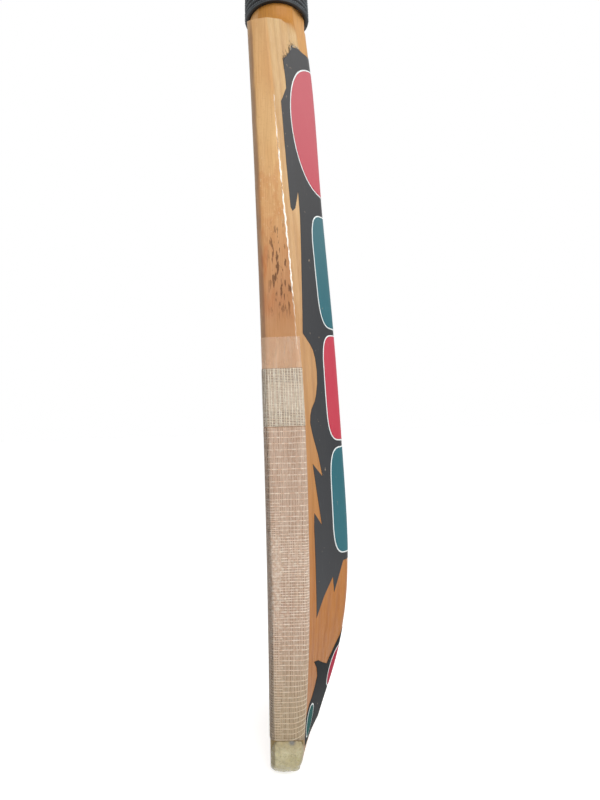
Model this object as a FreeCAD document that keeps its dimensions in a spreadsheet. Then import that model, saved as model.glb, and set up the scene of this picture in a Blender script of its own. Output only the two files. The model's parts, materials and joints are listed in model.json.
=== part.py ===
"""Cricket bat: a willow blade spliced to a laminated cane handle, with its grip, guard, tapes and labels.

X runs across the face, Y from the face (-Y) to the spine (+Y) and Z up from the toe to the handle's end.
The origin is on the ground under the toe, midway across the bat's width and depth.
"""

import FreeCAD, Part
import math
import os

import Sketcher

Vector = FreeCAD.Vector

SIZES = {
    "overall": {
        "blade_width": (108.0, "across the face, edge to edge"),
        "blade_length": (571.0, "ground to the top of the shoulders"),
        "handle_length": (289.0, "top of the shoulders to the handle's end"),
        "face_ahead": (31.0, "face line ahead of the origin at toe and shoulder"),
        "bow": (3.3, "how far the face line sinks back at mid length"),
    },
    "section": {
        "face_radius": (620.0, "camber across the face"),
        "face_corner": (5.5, "rounding between face and edge"),
        "back_corner": (3.0, "rounding between edge and flank"),
        "spine_radius": (10.0, "rounding along the spine"),
        "hollow_radius": (320.0, "hollow of each flank"),
    },
    "shoulder": {
        "shoulder_rise": (34.0, "edge's upper end below the top of the shoulders"),
        "neck_height": (10.0, "turned neck left on the blade under the handle"),
        "neck_blend": (12.0, "hollow where the neck runs out into the shoulders"),
    },
    "toe end": {
        "toe_corner": (14.0, "toe corner seen from the front"),
        "toe_round": (9.0, "toe rounding seen from the side"),
        "guard_thick": (3.0, "thickness of the rubber toe strip"),
        "guard_rise": (20.0, "height at which the strip starts to thin out"),
        "guard_taper": (7.0, "length over which the strip thins out"),
        "guard_lip": (0.5, "thickness left at the strip's ends"),
    },
    "handle": {
        "tongue_width": (36.0, "tongue across the top of the splice"),
        "tongue_length": (130.0, "splice depth below the shoulders"),
        "neck_straight": (22.0, "straight neck above the shoulders"),
        "neck_taper": (74.0, "length of the taper above the neck"),
        "handle_width": (33.0, "bare cane handle diameter"),
        "spring_thick": (1.6, "rubber between the cane slabs"),
        "handle_proud": (1.5, "cane standing out of the grip's end"),
    },
    "binding and grip": {
        "binding_thick": (1.1, "wound twine"),
        "binding_start": (10.0, "twine's lower end above the straight neck"),
        "binding_stop": (14.0, "bare cane above the twine"),
        "grip_wall": (3.3, "rubber wall to the crest of the ribs"),
        "rim_wall": (4.3, "thicker wall at the grip's lower rim"),
        "grip_lap": (7.0, "grip below the top of the shoulders at face and spine"),
        "grip_arch": (4.6, "how much higher the grip's rim is at the edges"),
        "sleeve_gap": (0.15, "radial room inside binding and grip"),
    },
    "skins": {
        "skin_gap": (0.05, "glue under film and labels"),
        "film_thick": (0.18, "film and label thickness"),
        "tape_gap": (0.04, "glue between film and tape"),
        "tape_thick": (0.35, "woven tape thickness"),
        "end_gap": (0.4, "room between skins that meet end to end"),
        "film_top": (309.0, "upper end of the film"),
        "tape_top": (287.0, "upper end of the upper tape"),
        "tape_join": (245.5, "where the two tapes meet"),
        "wrap_face": (11.0, "tape lapped on to the face"),
        "wrap_back": (3.0, "film and tape lapped on to the flank"),
        "label_foot": (107.0, "lowest point of the back label"),
        "label_drop": (34.0, "back label's top below the shoulders"),
        "toe_label_foot": (17.0, "lowest point of the toe label"),
        "toe_label_tall": (68.0, "height of the toe label"),
    },
}

# Sections of the blade from toe to neck: share of the blade's length, edge thickness and full depth.
STATIONS = [
    ("foot", 0.0, 23.0, 31.0),
    ("toe", 0.05, 26.0, 39.2),
    ("low", 0.11, 28.4, 50.3),
    ("belly", 0.19, 30.4, 59.2),
    ("swell", 0.285, 31.3, 61.0),
    ("middle", 0.40, 31.2, 58.7),
    ("upper", 0.58, 28.0, 54.3),
    ("high", 0.76, 22.2, 49.2),
    ("collar", 0.92, 18.3, 46.3),
    ("neck", 1.0, 17.2, 43.6),
]

# Right half of each label's outline: share of the half width, share of the label's height.
BACK_LABEL = [
    (0.30, 1.0), (0.44, 0.993), (0.50, 0.979), (0.64, 0.958), (0.685, 0.950), (0.670, 0.915), (0.676, 0.903),
    (0.798, 0.877), (0.837, 0.870), (0.845, 0.690), (0.800, 0.685), (0.720, 0.693), (0.598, 0.728), (0.611, 0.685),
    (0.646, 0.649), (0.778, 0.534), (0.839, 0.477), (0.722, 0.466), (0.650, 0.459), (0.595, 0.450), (0.558, 0.437),
    (0.539, 0.414), (0.553, 0.393), (0.600, 0.374), (0.650, 0.362), (0.740, 0.350), (0.781, 0.340), (0.802, 0.3265),
    (0.763, 0.3095), (0.637, 0.271), (0.555, 0.233), (0.658, 0.244), (0.787, 0.258), (0.729, 0.220), (0.617, 0.151),
    (0.700, 0.163), (0.790, 0.1755), (0.804, 0.1545), (0.782, 0.066), (0.757, 0.0), (0.584, 0.029), (0.385, 0.055),
    (0.351, 0.0265), (0.163, 0.076),
]
TOE_LABEL = [
    (0.03, 1.0), (0.34, 0.70), (0.50, 0.77), (0.64, 0.84), (0.765, 0.865), (0.66, 0.765), (0.61, 0.66),
    (0.66, 0.55), (0.72, 0.49), (0.82, 0.44), (0.925, 0.35), (0.93, 0.19), (0.85, 0.03), (0.78, 0.0),
]

CANE_SLABS = ["front", "middle", "back"]
STRIPS_PER_SLAB = 4
REACH = 200.0  # tool length that passes right through the bat
MARGIN = 10.0  # how far a tool runs past the wood it cuts

doc = FreeCAD.newDocument("CricketBat")


def make_sheet():
    """Write every driving size into the sheet, one aliased plain number per row."""
    sheet = doc.addObject("Spreadsheet::Sheet", "Sizes")
    row = 1
    for heading, group in SIZES.items():
        sheet.set(f"A{row}", heading)
        row += 1
        for alias, (value, note) in group.items():
            sheet.set(f"A{row}", note)
            sheet.set(f"B{row}", str(value))
            sheet.setAlias(f"B{row}", alias)
            row += 1
    for name, share, edge, depth in STATIONS:
        for suffix, value in (("share", share), ("edge", edge), ("depth", depth)):
            sheet.set(f"A{row}", f"{name} section, {suffix}")
            sheet.set(f"B{row}", str(value))
            sheet.setAlias(f"B{row}", f"{name}_{suffix}")
            row += 1
    doc.recompute()
    return sheet


SHEET = make_sheet()


def size(alias):
    """The sheet's present value of one size."""
    return float(SHEET.get(alias))


def sized(text):
    """An expression with each {alias} pointed at the sheet."""
    return text.replace("{", "Sizes.").replace("}", "")


# Lines and levels that several pieces share.
HALF = "{blade_width} / 2"
NECK_R = "{neck_depth} / 2"
HANDLE_Y = "{neck_depth} / 2 - {face_ahead}"
TOP = "({blade_length} + {handle_length})"
LABEL_TALL = "({blade_length} - {label_drop} - {label_foot})"
GUARD_TOP = "({guard_rise} + {guard_taper})"
TAPER_FOOT = "({blade_length} + {neck_straight})"
TAPER_TOP = "({blade_length} + {neck_straight} + {neck_taper})"
EDGE_MIDDLE = "({toe_edge} / 2 - {face_ahead})"


def value_of(text):
    """Work out an expression now, for a sketch's first geometry."""
    return float(SHEET.evalExpression(sized(text)))


def bind(thing, prop, text):
    """Tie one property to the sheet."""
    thing.setExpression(prop, sized(text))


def plane(body, role):
    """A body's own origin plane."""
    return next(f for f in body.Origin.OriginFeatures if f.Role == role)


def dimension(sketch, kind, where, text):
    """Add one dimension whose value follows the sheet."""
    index = sketch.addConstraint(Sketcher.Constraint(kind, *where, value_of(text)))
    name = f"d{index}"
    sketch.renameConstraint(index, name)
    bind(sketch, f"Constraints.{name}", text)


def section_guess(edge, depth, grow):
    """Corner centres and touch points of a blade section, all skins of which share the same centres."""
    half = size("blade_width") / 2
    camber, face_r, back_r = size("face_radius"), size("face_corner"), size("back_corner")
    spine_r, hollow = size("spine_radius"), size("hollow_radius")
    face_c = Vector(0, camber, 0)
    corner_y = camber - math.sqrt((camber - face_r) ** 2 - (half - face_r) ** 2)
    corner_c = Vector(half - face_r, corner_y, 0)
    back_c = Vector(half - back_r, edge - back_r, 0)
    spine_c = Vector(0, depth - spine_r, 0)
    to_spine = spine_c - back_c
    span = to_spine.Length
    along = ((hollow + back_r) ** 2 - (hollow + spine_r) ** 2 + span**2) / (2 * span)
    out = math.sqrt((hollow + back_r) ** 2 - along**2)
    unit = to_spine / span
    hollow_c = back_c + unit * along + Vector(unit.y, -unit.x, 0) * out
    return {
        "face_c": face_c,
        "corner_c": corner_c,
        "back_c": back_c,
        "spine_c": spine_c,
        "hollow_c": hollow_c,
        "face_end": face_c + (corner_c - face_c).normalize() * (camber + grow),
        "edge_low": Vector(half + grow, corner_y, 0),
        "edge_high": Vector(half + grow, back_c.y, 0),
        "flank_low": back_c + (hollow_c - back_c).normalize() * (back_r + grow),
        "flank_high": spine_c + (hollow_c - spine_c).normalize() * (spine_r + grow),
    }


def arc(centre, start, end):
    """An arc drawn anticlockwise from start to end."""
    radius = (start - centre).Length
    angles = [math.atan2(p.y - centre.y, p.x - centre.x) for p in (start, end)]
    if angles[1] < angles[0]:
        angles[1] += 2 * math.pi
    circle = Part.Circle(centre, Vector(0, 0, 1), radius)
    return Part.ArcOfCircle(circle, *angles)


def flip(point):
    """The same point on the other side of the bat."""
    return Vector(-point.x, point.y, point.z)


def draw_section(sketch, station, skin):
    """Draw one tangent section: cambered face, rounded corners, hollow flanks and a round spine."""
    g = section_guess(size(f"{station}_edge"), size(f"{station}_depth"), value_of(skin))
    far = {key: flip(point) for key, point in g.items()}
    sketch.addGeometry(
        [
            arc(g["face_c"], far["face_end"], g["face_end"]),
            arc(g["corner_c"], g["face_end"], g["edge_low"]),
            Part.LineSegment(g["edge_low"], g["edge_high"]),
            arc(g["back_c"], g["edge_high"], g["flank_low"]),
            arc(g["hollow_c"], g["flank_high"], g["flank_low"]),
            arc(g["spine_c"], g["flank_high"], far["flank_high"]),
            arc(far["hollow_c"], far["flank_low"], far["flank_high"]),
            arc(far["back_c"], far["flank_low"], far["edge_high"]),
            Part.LineSegment(far["edge_high"], far["edge_low"]),
            arc(far["corner_c"], far["edge_low"], far["face_end"]),
        ],
        False,
    )
    face, corner, edge, back, flank, spine, far_flank, far_back, far_edge, far_corner = range(10)
    start, end, centre, origin, y_axis = 1, 2, 3, (-1, 1), -2
    touching = [
        (face, end, corner, start), (corner, end, edge, start), (edge, end, back, start),
        (back, end, flank, end), (flank, start, spine, start), (spine, end, far_flank, end),
        (far_flank, start, far_back, start), (far_back, end, far_edge, start),
        (far_edge, end, far_corner, start), (far_corner, end, face, start),
    ]
    sketch.addConstraint([Sketcher.Constraint("Tangent", *pair) for pair in touching])
    sketch.addConstraint(
        [
            Sketcher.Constraint("Vertical", edge),
            Sketcher.Constraint("Vertical", far_edge),
            Sketcher.Constraint("PointOnObject", face, centre, y_axis),
            Sketcher.Constraint("PointOnObject", spine, centre, y_axis),
            Sketcher.Constraint("Equal", corner, far_corner),
            Sketcher.Constraint("Equal", back, far_back),
            Sketcher.Constraint("Equal", flank, far_flank),
        ]
    )
    dimension(sketch, "Radius", (face,), f"{{face_radius}} + {skin}")
    dimension(sketch, "Radius", (corner,), f"{{face_corner}} + {skin}")
    dimension(sketch, "Radius", (back,), f"{{back_corner}} + {skin}")
    dimension(sketch, "Radius", (spine,), f"{{spine_radius}} + {skin}")
    dimension(sketch, "Radius", (flank,), f"{{hollow_radius}} - ({skin})")
    dimension(sketch, "DistanceY", (*origin, face, centre), "{face_radius}")
    dimension(sketch, "DistanceX", (*origin, edge, start), f"{HALF} + {skin}")
    dimension(sketch, "DistanceX", (far_edge, start, *origin), f"{HALF} + {skin}")
    back_y = f"{{{station}_edge}} - {{back_corner}}"
    dimension(sketch, "DistanceY", (*origin, back, centre), back_y)
    dimension(sketch, "DistanceY", (*origin, far_back, centre), back_y)
    dimension(sketch, "DistanceY", (*origin, spine, centre), f"{{{station}_depth}} - {{spine_radius}}")


def place_section(sketch, prop, station):
    """Lift a section to its height and set it back by the face line's bow."""
    share = f"{{{station}_share}}"
    bind(sketch, f"{prop}.Base.z", f"{{blade_length}} * {share}")
    bind(sketch, f"{prop}.Base.y", f"{{bow}} * (1 - (2 * {share} - 1) ^ 2) - {{face_ahead}}")


def skin_loft(name, skin):
    """The blade's whole outer shape, grown all round by a skin's distance."""
    sections = []
    for station, *_ in STATIONS:
        sketch = doc.addObject("Sketcher::SketchObject", f"{name}_{station}")
        place_section(sketch, "Placement", station)
        draw_section(sketch, station, skin)
        sections.append(sketch)
    loft = doc.addObject("Part::Loft", name)
    loft.Sections = sections
    loft.Solid = True
    loft.Ruled = False
    return loft


def outline(sketch, corners):
    """Draw a closed outline. A corner is x, y and, for an arc to the next corner, its centre."""
    points = [Vector(value_of(c[0]), value_of(c[1]), 0) for c in corners]
    for index, corner in enumerate(corners):
        here, there = points[index], points[(index + 1) % len(points)]
        if len(corner) == 2:
            sketch.addGeometry(Part.LineSegment(here, there), False)
            continue
        middle = Vector(value_of(corner[2]), value_of(corner[3]), 0)
        turn = (here - middle).cross(there - middle).z
        first, last = (here, there) if turn > 0 else (there, here)
        sketch.addGeometry(arc(middle, first, last), False)
        sketch.addGeometry(Part.Point(middle), True)
    pin_outline(sketch, corners, points)


def pin_outline(sketch, corners, points):
    """Join an outline's ends and tie every corner to the sheet."""
    ends, geometry = [], 0
    for index, corner in enumerate(corners):
        curved = len(corner) == 4
        forward = not curved or sketch.Geometry[geometry].StartPoint.distanceToPoint(points[index]) < 1e-6
        ends.append((geometry, 1, 2) if forward else (geometry, 2, 1))
        geometry += 2 if curved else 1
    for index, corner in enumerate(corners):
        piece, first, last = ends[index]
        after, after_first, _ = ends[(index + 1) % len(ends)]
        sketch.addConstraint(Sketcher.Constraint("Coincident", piece, last, after, after_first))
        locate(sketch, piece, first, corner[0], corner[1])
        if len(corner) == 4:
            locate_centre(sketch, piece, corner)


def locate(sketch, piece, point, x_text, y_text):
    """Dimension a point from the sketch's origin, whichever side it lies on."""
    for kind, text, axis in (("DistanceX", x_text, -2), ("DistanceY", y_text, -1)):
        distance = value_of(text)
        if abs(distance) < 1e-9:
            sketch.addConstraint(Sketcher.Constraint("PointOnObject", piece, point, axis))
        elif distance > 0:
            dimension(sketch, kind, (-1, 1, piece, point), text)
        else:
            dimension(sketch, kind, (piece, point, -1, 1), f"-({text})")


def locate_centre(sketch, piece, corner):
    """Set an arc's radius: its two ends are already tied."""
    dx, dy = f"(({corner[0]}) - ({corner[2]}))", f"(({corner[1]}) - ({corner[3]}))"
    dimension(sketch, "Radius", (piece,), f"sqrt({dx} * {dx} + {dy} * {dy})")
    sketch.addConstraint(Sketcher.Constraint("Coincident", piece + 1, 1, piece, 3))


def body(name):
    """A new PartDesign body."""
    return doc.addObject("PartDesign::Body", name)


def sketch_on(owner, role, name):
    """A sketch attached to one of its own body's origin planes."""
    sketch = owner.newObject("Sketcher::SketchObject", name)
    sketch.AttachmentSupport = (plane(owner, role), [""])
    sketch.MapMode = "FlatFace"
    return sketch


def cut_through(owner, name, sketch):
    """Pocket a sketch right through the body, both ways, and make sure that it cuts."""
    doc.recompute()
    before = owner.Shape.Volume
    pocket = owner.newObject("PartDesign::Pocket", name)
    pocket.Profile = (sketch, [""])
    pocket.SideType = "Symmetric"
    pocket.Type = "ThroughAll"
    doc.recompute()
    if owner.Shape.Volume > before - 1:
        raise RuntimeError(f"{name} cuts nothing")


def front_prism(name, corners, back_only=False):
    """A tool: an outline seen from the front, run through the bat from face to spine."""
    sketch = doc.addObject("Sketcher::SketchObject", f"{name}_outline")
    sketch.Placement = FreeCAD.Placement(Vector(), FreeCAD.Rotation(Vector(1, 0, 0), 90))
    outline(sketch, corners)
    prism = doc.addObject("Part::Extrusion", name)
    prism.Base = sketch
    prism.DirMode = "Custom"
    prism.Dir = Vector(0, 1, 0)
    prism.LengthFwd = REACH
    prism.LengthRev = 0 if back_only else REACH
    if back_only:
        bind(sketch, "Placement.Base.y", EDGE_MIDDLE)
    prism.Solid = True
    return prism


def block(name, low, high):
    """A tool: a box between two corners, each given as three expressions."""
    box = doc.addObject("Part::Box", name)
    for prop, axis, a, b in zip(("Length", "Width", "Height"), "xyz", low, high):
        bind(box, prop, f"({b}) - ({a})")
        bind(box, f"Placement.Base.{axis}", a)
    return box


def boolean(kind, name, base, tool):
    """A Part::Cut, Part::Common or Part::Fuse of two objects."""
    result = doc.addObject(f"Part::{kind}", name)
    if kind == "Fuse":
        result.Refine = True
    result.Base = base
    result.Tool = tool
    return result


def carve_blank():
    """The whole blade as one carving, before the splice and the toe strip are cut."""
    blank = body("BladeBlank")
    sections = []
    for station, *_ in STATIONS:
        sketch = sketch_on(blank, "XY_Plane", f"Section_{station}")
        place_section(sketch, "AttachmentOffset", station)
        draw_section(sketch, station, "0")
        sections.append(sketch)
    doc.recompute()
    loft = blank.newObject("PartDesign::AdditiveLoft", "Carving")
    loft.Profile = (sections[0], [""])
    loft.Sections = [(sketch, [""]) for sketch in sections[1:]]

    corners = sketch_on(blank, "XZ_Plane", "ToeCorners")
    inner = f"({HALF} - {{toe_corner}})"
    side = f"({HALF} + {MARGIN})"
    outline(
        corners,
        [
            (f"-{side}", f"-{MARGIN}"), (side, f"-{MARGIN}"), (side, "{toe_corner}"),
            (HALF, "{toe_corner}", inner, "{toe_corner}"), (inner, "0"),
            (f"-{inner}", "0", f"-{inner}", "{toe_corner}"), (f"-{HALF}", "{toe_corner}"),
            (f"-{side}", "{toe_corner}"),
        ],
    )
    cut_through(blank, "ToeCornerCut", corners)

    ends = sketch_on(blank, "YZ_Plane", "ToeEnd")
    face, back = "(0 - {face_ahead})", "({foot_edge} - {face_ahead})"
    beyond = f"({back} + {REACH})"
    outline(
        ends,
        [
            (f"{face} - {MARGIN}", f"-{MARGIN}"), (beyond, f"-{MARGIN}"),
            (beyond, f"{{toe_round}} + {REACH}"), (back, "{toe_round}", f"{back} - {{toe_round}}", "{toe_round}"),
            (f"{back} - {{toe_round}}", "0"),
            (f"{face} + {{toe_round}}", "0", f"{face} + {{toe_round}}", "{toe_round}"),
            (face, "{toe_round}"), (f"{face} - {MARGIN}", "{toe_round}"),
        ],
    )
    cut_through(blank, "ToeEndCut", ends)

    neck = sketch_on(blank, "XZ_Plane", "NeckAndShoulders")
    bind(neck, "AttachmentOffset.Base.z", f"0 - ({HANDLE_Y})")
    blend_x = f"({NECK_R} + {{neck_blend}})"
    neck_z = "({blade_length} - {neck_height})"
    blend_z = f"({neck_z} - {{neck_blend}})"
    edge_z = "({blade_length} - {shoulder_rise})"
    above = f"({{blade_length}} + {MARGIN})"
    fall = f"({blend_z} - {edge_z}) * {HALF} / ({HALF} - {blend_x})"
    outline(
        neck,
        [
            (NECK_R, above), (NECK_R, neck_z, blend_x, neck_z), (blend_x, blend_z),
            (f"{blend_x} + {HALF}", f"{blend_z} - {fall}"), (f"{blend_x} + {HALF}", above),
        ],
    )
    doc.recompute()
    before = blank.Shape.Volume
    groove = blank.newObject("PartDesign::Groove", "NeckTurning")
    groove.Profile = (neck, [""])
    groove.ReferenceAxis = (neck, ["V_Axis"])
    groove.Angle = 360
    doc.recompute()
    if blank.Shape.Volume > before - 1:
        raise RuntimeError("the neck turning cuts nothing")
    return blank


def turned(name, profile):
    """A body turned about the handle's axis from a profile of radius and height."""
    piece = body(name)
    bind(piece, "Placement.Base.y", HANDLE_Y)
    sketch = sketch_on(piece, "XZ_Plane", f"{name}_profile")
    outline(sketch, profile)
    doc.recompute()
    turn = piece.newObject("PartDesign::Revolution", f"{name}_turning")
    turn.Profile = (sketch, [""])
    turn.ReferenceAxis = (sketch, ["V_Axis"])
    turn.Angle = 360
    doc.recompute()
    return piece


def handle_pieces(blank):
    """Cane strips and springs: one turned handle with its tongue, parted by the glue planes."""
    tongue_tool = front_prism(
        "TongueTool",
        [
            ("0", "{blade_length} - {tongue_length}"), ("{tongue_width} / 2", "{blade_length}"),
            ("-{tongue_width} / 2", "{blade_length}"),
        ],
    )
    tongue = boolean("Common", "Tongue", blank, tongue_tool)
    turning = turned(
        "HandleTurning",
        [
            ("0", "{blade_length}"), (NECK_R, "{blade_length}"), (NECK_R, TAPER_FOOT),
            ("{handle_width} / 2", TAPER_TOP), ("{handle_width} / 2", TOP), ("0", TOP),
        ],
    )
    core = boolean("Fuse", "HandleCore", turning, tongue)
    pieces = {}
    strip = f"{{handle_width}} / {STRIPS_PER_SLAB}"
    for slab, (front, back) in zip(CANE_SLABS, slab_limits()):
        for number in range(STRIPS_PER_SLAB):
            left = number - STRIPS_PER_SLAB // 2
            name = f"cane_{slab}_{number + 1}"
            low = f"{left} * {strip}" if number else f"0 - {REACH}"
            high = f"{left + 1} * {strip}" if number < STRIPS_PER_SLAB - 1 else f"{REACH}"
            tool = block(f"{name}_saw", (low, front, "0"), (high, back, f"{TOP} + {MARGIN}"))
            pieces[name] = boolean("Common", name, core, tool)
    # The two springs lie at a third and two thirds of the cane's depth, a sixth either side of its middle.
    for side, sign in (("front", "-"), ("back", "+")):
        middle = f"({HANDLE_Y} {sign} {{handle_width}} / 6)"
        tool = block(
            f"{side}_spring_saw",
            (f"0 - {REACH}", f"{middle} - {{spring_thick}} / 2", "0"),
            (f"{REACH}", f"{middle} + {{spring_thick}} / 2", f"{TOP} + {MARGIN}"),
        )
        pieces[f"{side}_spring"] = boolean("Common", f"{side}_spring", core, tool)
    return tongue_tool, pieces


def slab_limits():
    """Front and back of each cane slab, either side of the two springs."""
    inner = "({handle_width} / 6 - {spring_thick} / 2)"
    outer = "({handle_width} / 6 + {spring_thick} / 2)"
    return [
        (f"0 - {REACH}", f"{HANDLE_Y} - {outer}"),
        (f"{HANDLE_Y} - {inner}", f"{HANDLE_Y} + {inner}"),
        (f"{HANDLE_Y} + {outer}", f"{REACH}"),
    ]


def wound_handle():
    """Twine binding and rubber grip, turned to follow the handle's neck, taper and barrel."""
    bare = "({handle_width} / 2 + {sleeve_gap})"
    start = f"({TAPER_FOOT} + {{binding_start}})"
    slope = f"(({NECK_R} - {{handle_width}} / 2) / {{neck_taper}})"
    start_r = f"({NECK_R} + {{sleeve_gap}} - {slope} * {{binding_start}})"
    stop = f"({TOP} - {{binding_stop}})"
    twine = "{binding_thick}"
    binding = turned(
        "handle_binding",
        [
            (start_r, start), (f"{start_r} + {twine}", start), (f"{bare} + {twine}", TAPER_TOP),
            (f"{bare} + {twine}", stop), (bare, stop), (bare, TAPER_TOP),
        ],
    )
    grip_foot = "({blade_length} - {grip_lap})"
    grip_top = f"({TOP} - {{handle_proud}})"
    neck_in = f"({NECK_R} + {{sleeve_gap}})"
    over = f"({{handle_width}} / 2 + {twine} + 2 * {{sleeve_gap}})"
    over_start = f"({start_r} + {twine} + {{sleeve_gap}})"
    wall = "{grip_wall}"
    grip = turned(
        "grip",
        [
            (neck_in, grip_foot), (f"{neck_in} + {{rim_wall}}", grip_foot), (f"{neck_in} + {wall}", TAPER_FOOT),
            (f"{over_start} + {wall}", start), (f"{over} + {wall}", TAPER_TOP), (f"{over} + {wall}", grip_top),
            (over, grip_top), (over, TAPER_TOP), (over_start, f"{start} - {{end_gap}}"),
            (neck_in, f"{start} - {{binding_start}}"),
        ],
    )
    rim = sketch_on(grip, "XZ_Plane", "RimArch")
    reach = f"({neck_in} + {{rim_wall}})"
    radius = f"({reach} * {reach} / (2 * {{grip_arch}}) + {{grip_arch}} / 2)"
    outline(
        rim,
        [
            (f"-{reach}", f"{grip_foot} - {MARGIN}"), (reach, f"{grip_foot} - {MARGIN}"),
            (reach, f"{grip_foot} + {{grip_arch}}", "0", f"{grip_foot} + {radius}"),
            (f"-{reach}", f"{grip_foot} + {{grip_arch}}"),
        ],
    )
    cut_through(grip, "RimArchCut", rim)
    return {"handle_binding": binding, "grip": grip}


def blade_and_guard(blank, tongue_tool):
    """Part the carving into the willow blade and the rubber strip round its toe."""
    side = f"({HALF} + {MARGIN})"
    inner = f"({HALF} - {{toe_corner}})"
    wood = f"({HALF} - {{guard_thick}})"
    lip = f"({HALF} - {{guard_lip}})"
    strip_tool = front_prism(
        "ToeStripTool",
        [
            (f"-{side}", f"-{MARGIN}"), (side, f"-{MARGIN}"), (side, GUARD_TOP), (lip, GUARD_TOP),
            (wood, "{guard_rise}"), (wood, "{toe_corner}", inner, "{toe_corner}"), (inner, "{guard_thick}"),
            (f"-{inner}", "{guard_thick}", f"-{inner}", "{toe_corner}"), (f"-{wood}", "{toe_corner}"),
            (f"-{wood}", "{guard_rise}"), (f"-{lip}", GUARD_TOP), (f"-{side}", GUARD_TOP),
        ],
    )
    guard = boolean("Common", "toe_guard", blank, strip_tool)
    without_toe = boolean("Cut", "BladeAboveStrip", blank, strip_tool)
    return {"blade": boolean("Cut", "blade", without_toe, tongue_tool), "toe_guard": guard}


def skins():
    """Film, tapes and labels: bands of the blade's own surface, lifted off it by glue and film."""
    film_under, film_over = "{skin_gap}", "({skin_gap} + {film_thick})"
    tape_under = f"({film_over} + {{tape_gap}})"
    tape_over = f"({tape_under} + {{tape_thick}})"
    film_shell = boolean("Cut", "FilmShell", skin_loft("FilmOver", film_over), skin_loft("FilmUnder", film_under))
    tape_shell = boolean("Cut", "TapeShell", skin_loft("TapeOver", tape_over), skin_loft("TapeUnder", tape_under))

    lapped = f"({HALF} - {{wrap_back}})"
    flank_tool = block("BareFlanks", (f"-{lapped}", EDGE_MIDDLE, f"-{MARGIN}"), (lapped, f"{REACH}", TOP))
    open_film = boolean("Cut", "OpenFilm", film_shell, flank_tool)
    foot = f"({GUARD_TOP} + {{end_gap}})"
    band = block("FilmBand", (f"0 - {REACH}", f"0 - {REACH}", foot), (f"{REACH}", f"{REACH}", "{film_top}"))
    pieces = {"face_film": boolean("Common", "face_film", open_film, band)}

    inset = f"({HALF} - {{wrap_face}})"
    face_tool = block("BareFace", (f"-{inset}", f"0 - {REACH}", f"-{MARGIN}"), (inset, EDGE_MIDDLE, TOP))
    open_tape = boolean("Cut", "OpenTape", boolean("Cut", "TapeOffFlank", tape_shell, flank_tool), face_tool)
    levels = {
        "lower": (foot, "{tape_join} - {end_gap} / 2"),
        "upper": ("{tape_join} + {end_gap} / 2", "{tape_top}"),
    }
    for level, (low, high) in levels.items():
        for side, left, right in (("near", "0", f"{REACH}"), ("far", f"0 - {REACH}", "0")):
            name = f"{level}_tape_{side}"
            tool = block(f"{name}_band", (left, f"0 - {REACH}", low), (right, f"{REACH}", high))
            pieces[name] = boolean("Common", name, open_tape, tool)

    for name, half_outline, low, tall in (
        ("back_label", BACK_LABEL, "{label_foot}", LABEL_TALL),
        ("toe_label", TOE_LABEL, "{toe_label_foot}", "{toe_label_tall}"),
    ):
        right = [(f"{HALF} * {x}", f"{low} + {tall} * {share}") for x, share in half_outline]
        left = [(f"-({x})", z) for x, z in reversed(right)]
        pieces[name] = boolean("Common", name, film_shell, front_prism(f"{name}_die", right + left, True))
    return pieces


def check_and_export(pieces):
    """Refuse a failed or invalid piece, then write each one to its own STEP file."""
    doc.recompute()
    failed = [o.Name for o in doc.Objects if "Invalid" in o.State or "Error" in o.State]
    if failed:
        raise RuntimeError(f"failed features: {failed}")
    for name, piece in pieces.items():
        if piece.Shape.isNull() or not piece.Shape.isValid() or piece.Shape.Volume <= 0:
            raise RuntimeError(f"{name} has no valid solid")
    os.makedirs("parts", exist_ok=True)
    for name, piece in pieces.items():
        piece.Label = name
        piece.Shape.exportStep(f"parts/{name}.step")
        print(f"{name:18s} solids {len(piece.Shape.Solids)}  {piece.Shape.Volume / 1000:9.3f} cm3")


def main():
    """Build every piece of the bat."""
    blank = carve_blank()
    tongue_tool, pieces = handle_pieces(blank)
    pieces.update(blade_and_guard(blank, tongue_tool))
    pieces.update(wound_handle())
    pieces.update(skins())
    check_and_export(pieces)


main()
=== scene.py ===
"""Cricket bat: the visible finish of every piece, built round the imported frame.

The frame is in metres: X runs across the face, Y from the face (-Y) to the spine (+Y) and Z from the toe up.
Pieces that the frame already shapes well keep their mesh and get a finish. The tapes, the grip and the print
on the labels are modelled here, laid on the blade's own surface.
"""

import json
import logging
import math
from collections.abc import Sequence
from dataclasses import dataclass, field
from enum import Enum

import bpy
import numpy as np
from mathutils import Matrix, Vector
from mathutils.bvhtree import BVHTree
from mathutils.geometry import barycentric_transform, delaunay_2d_cdt

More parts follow.
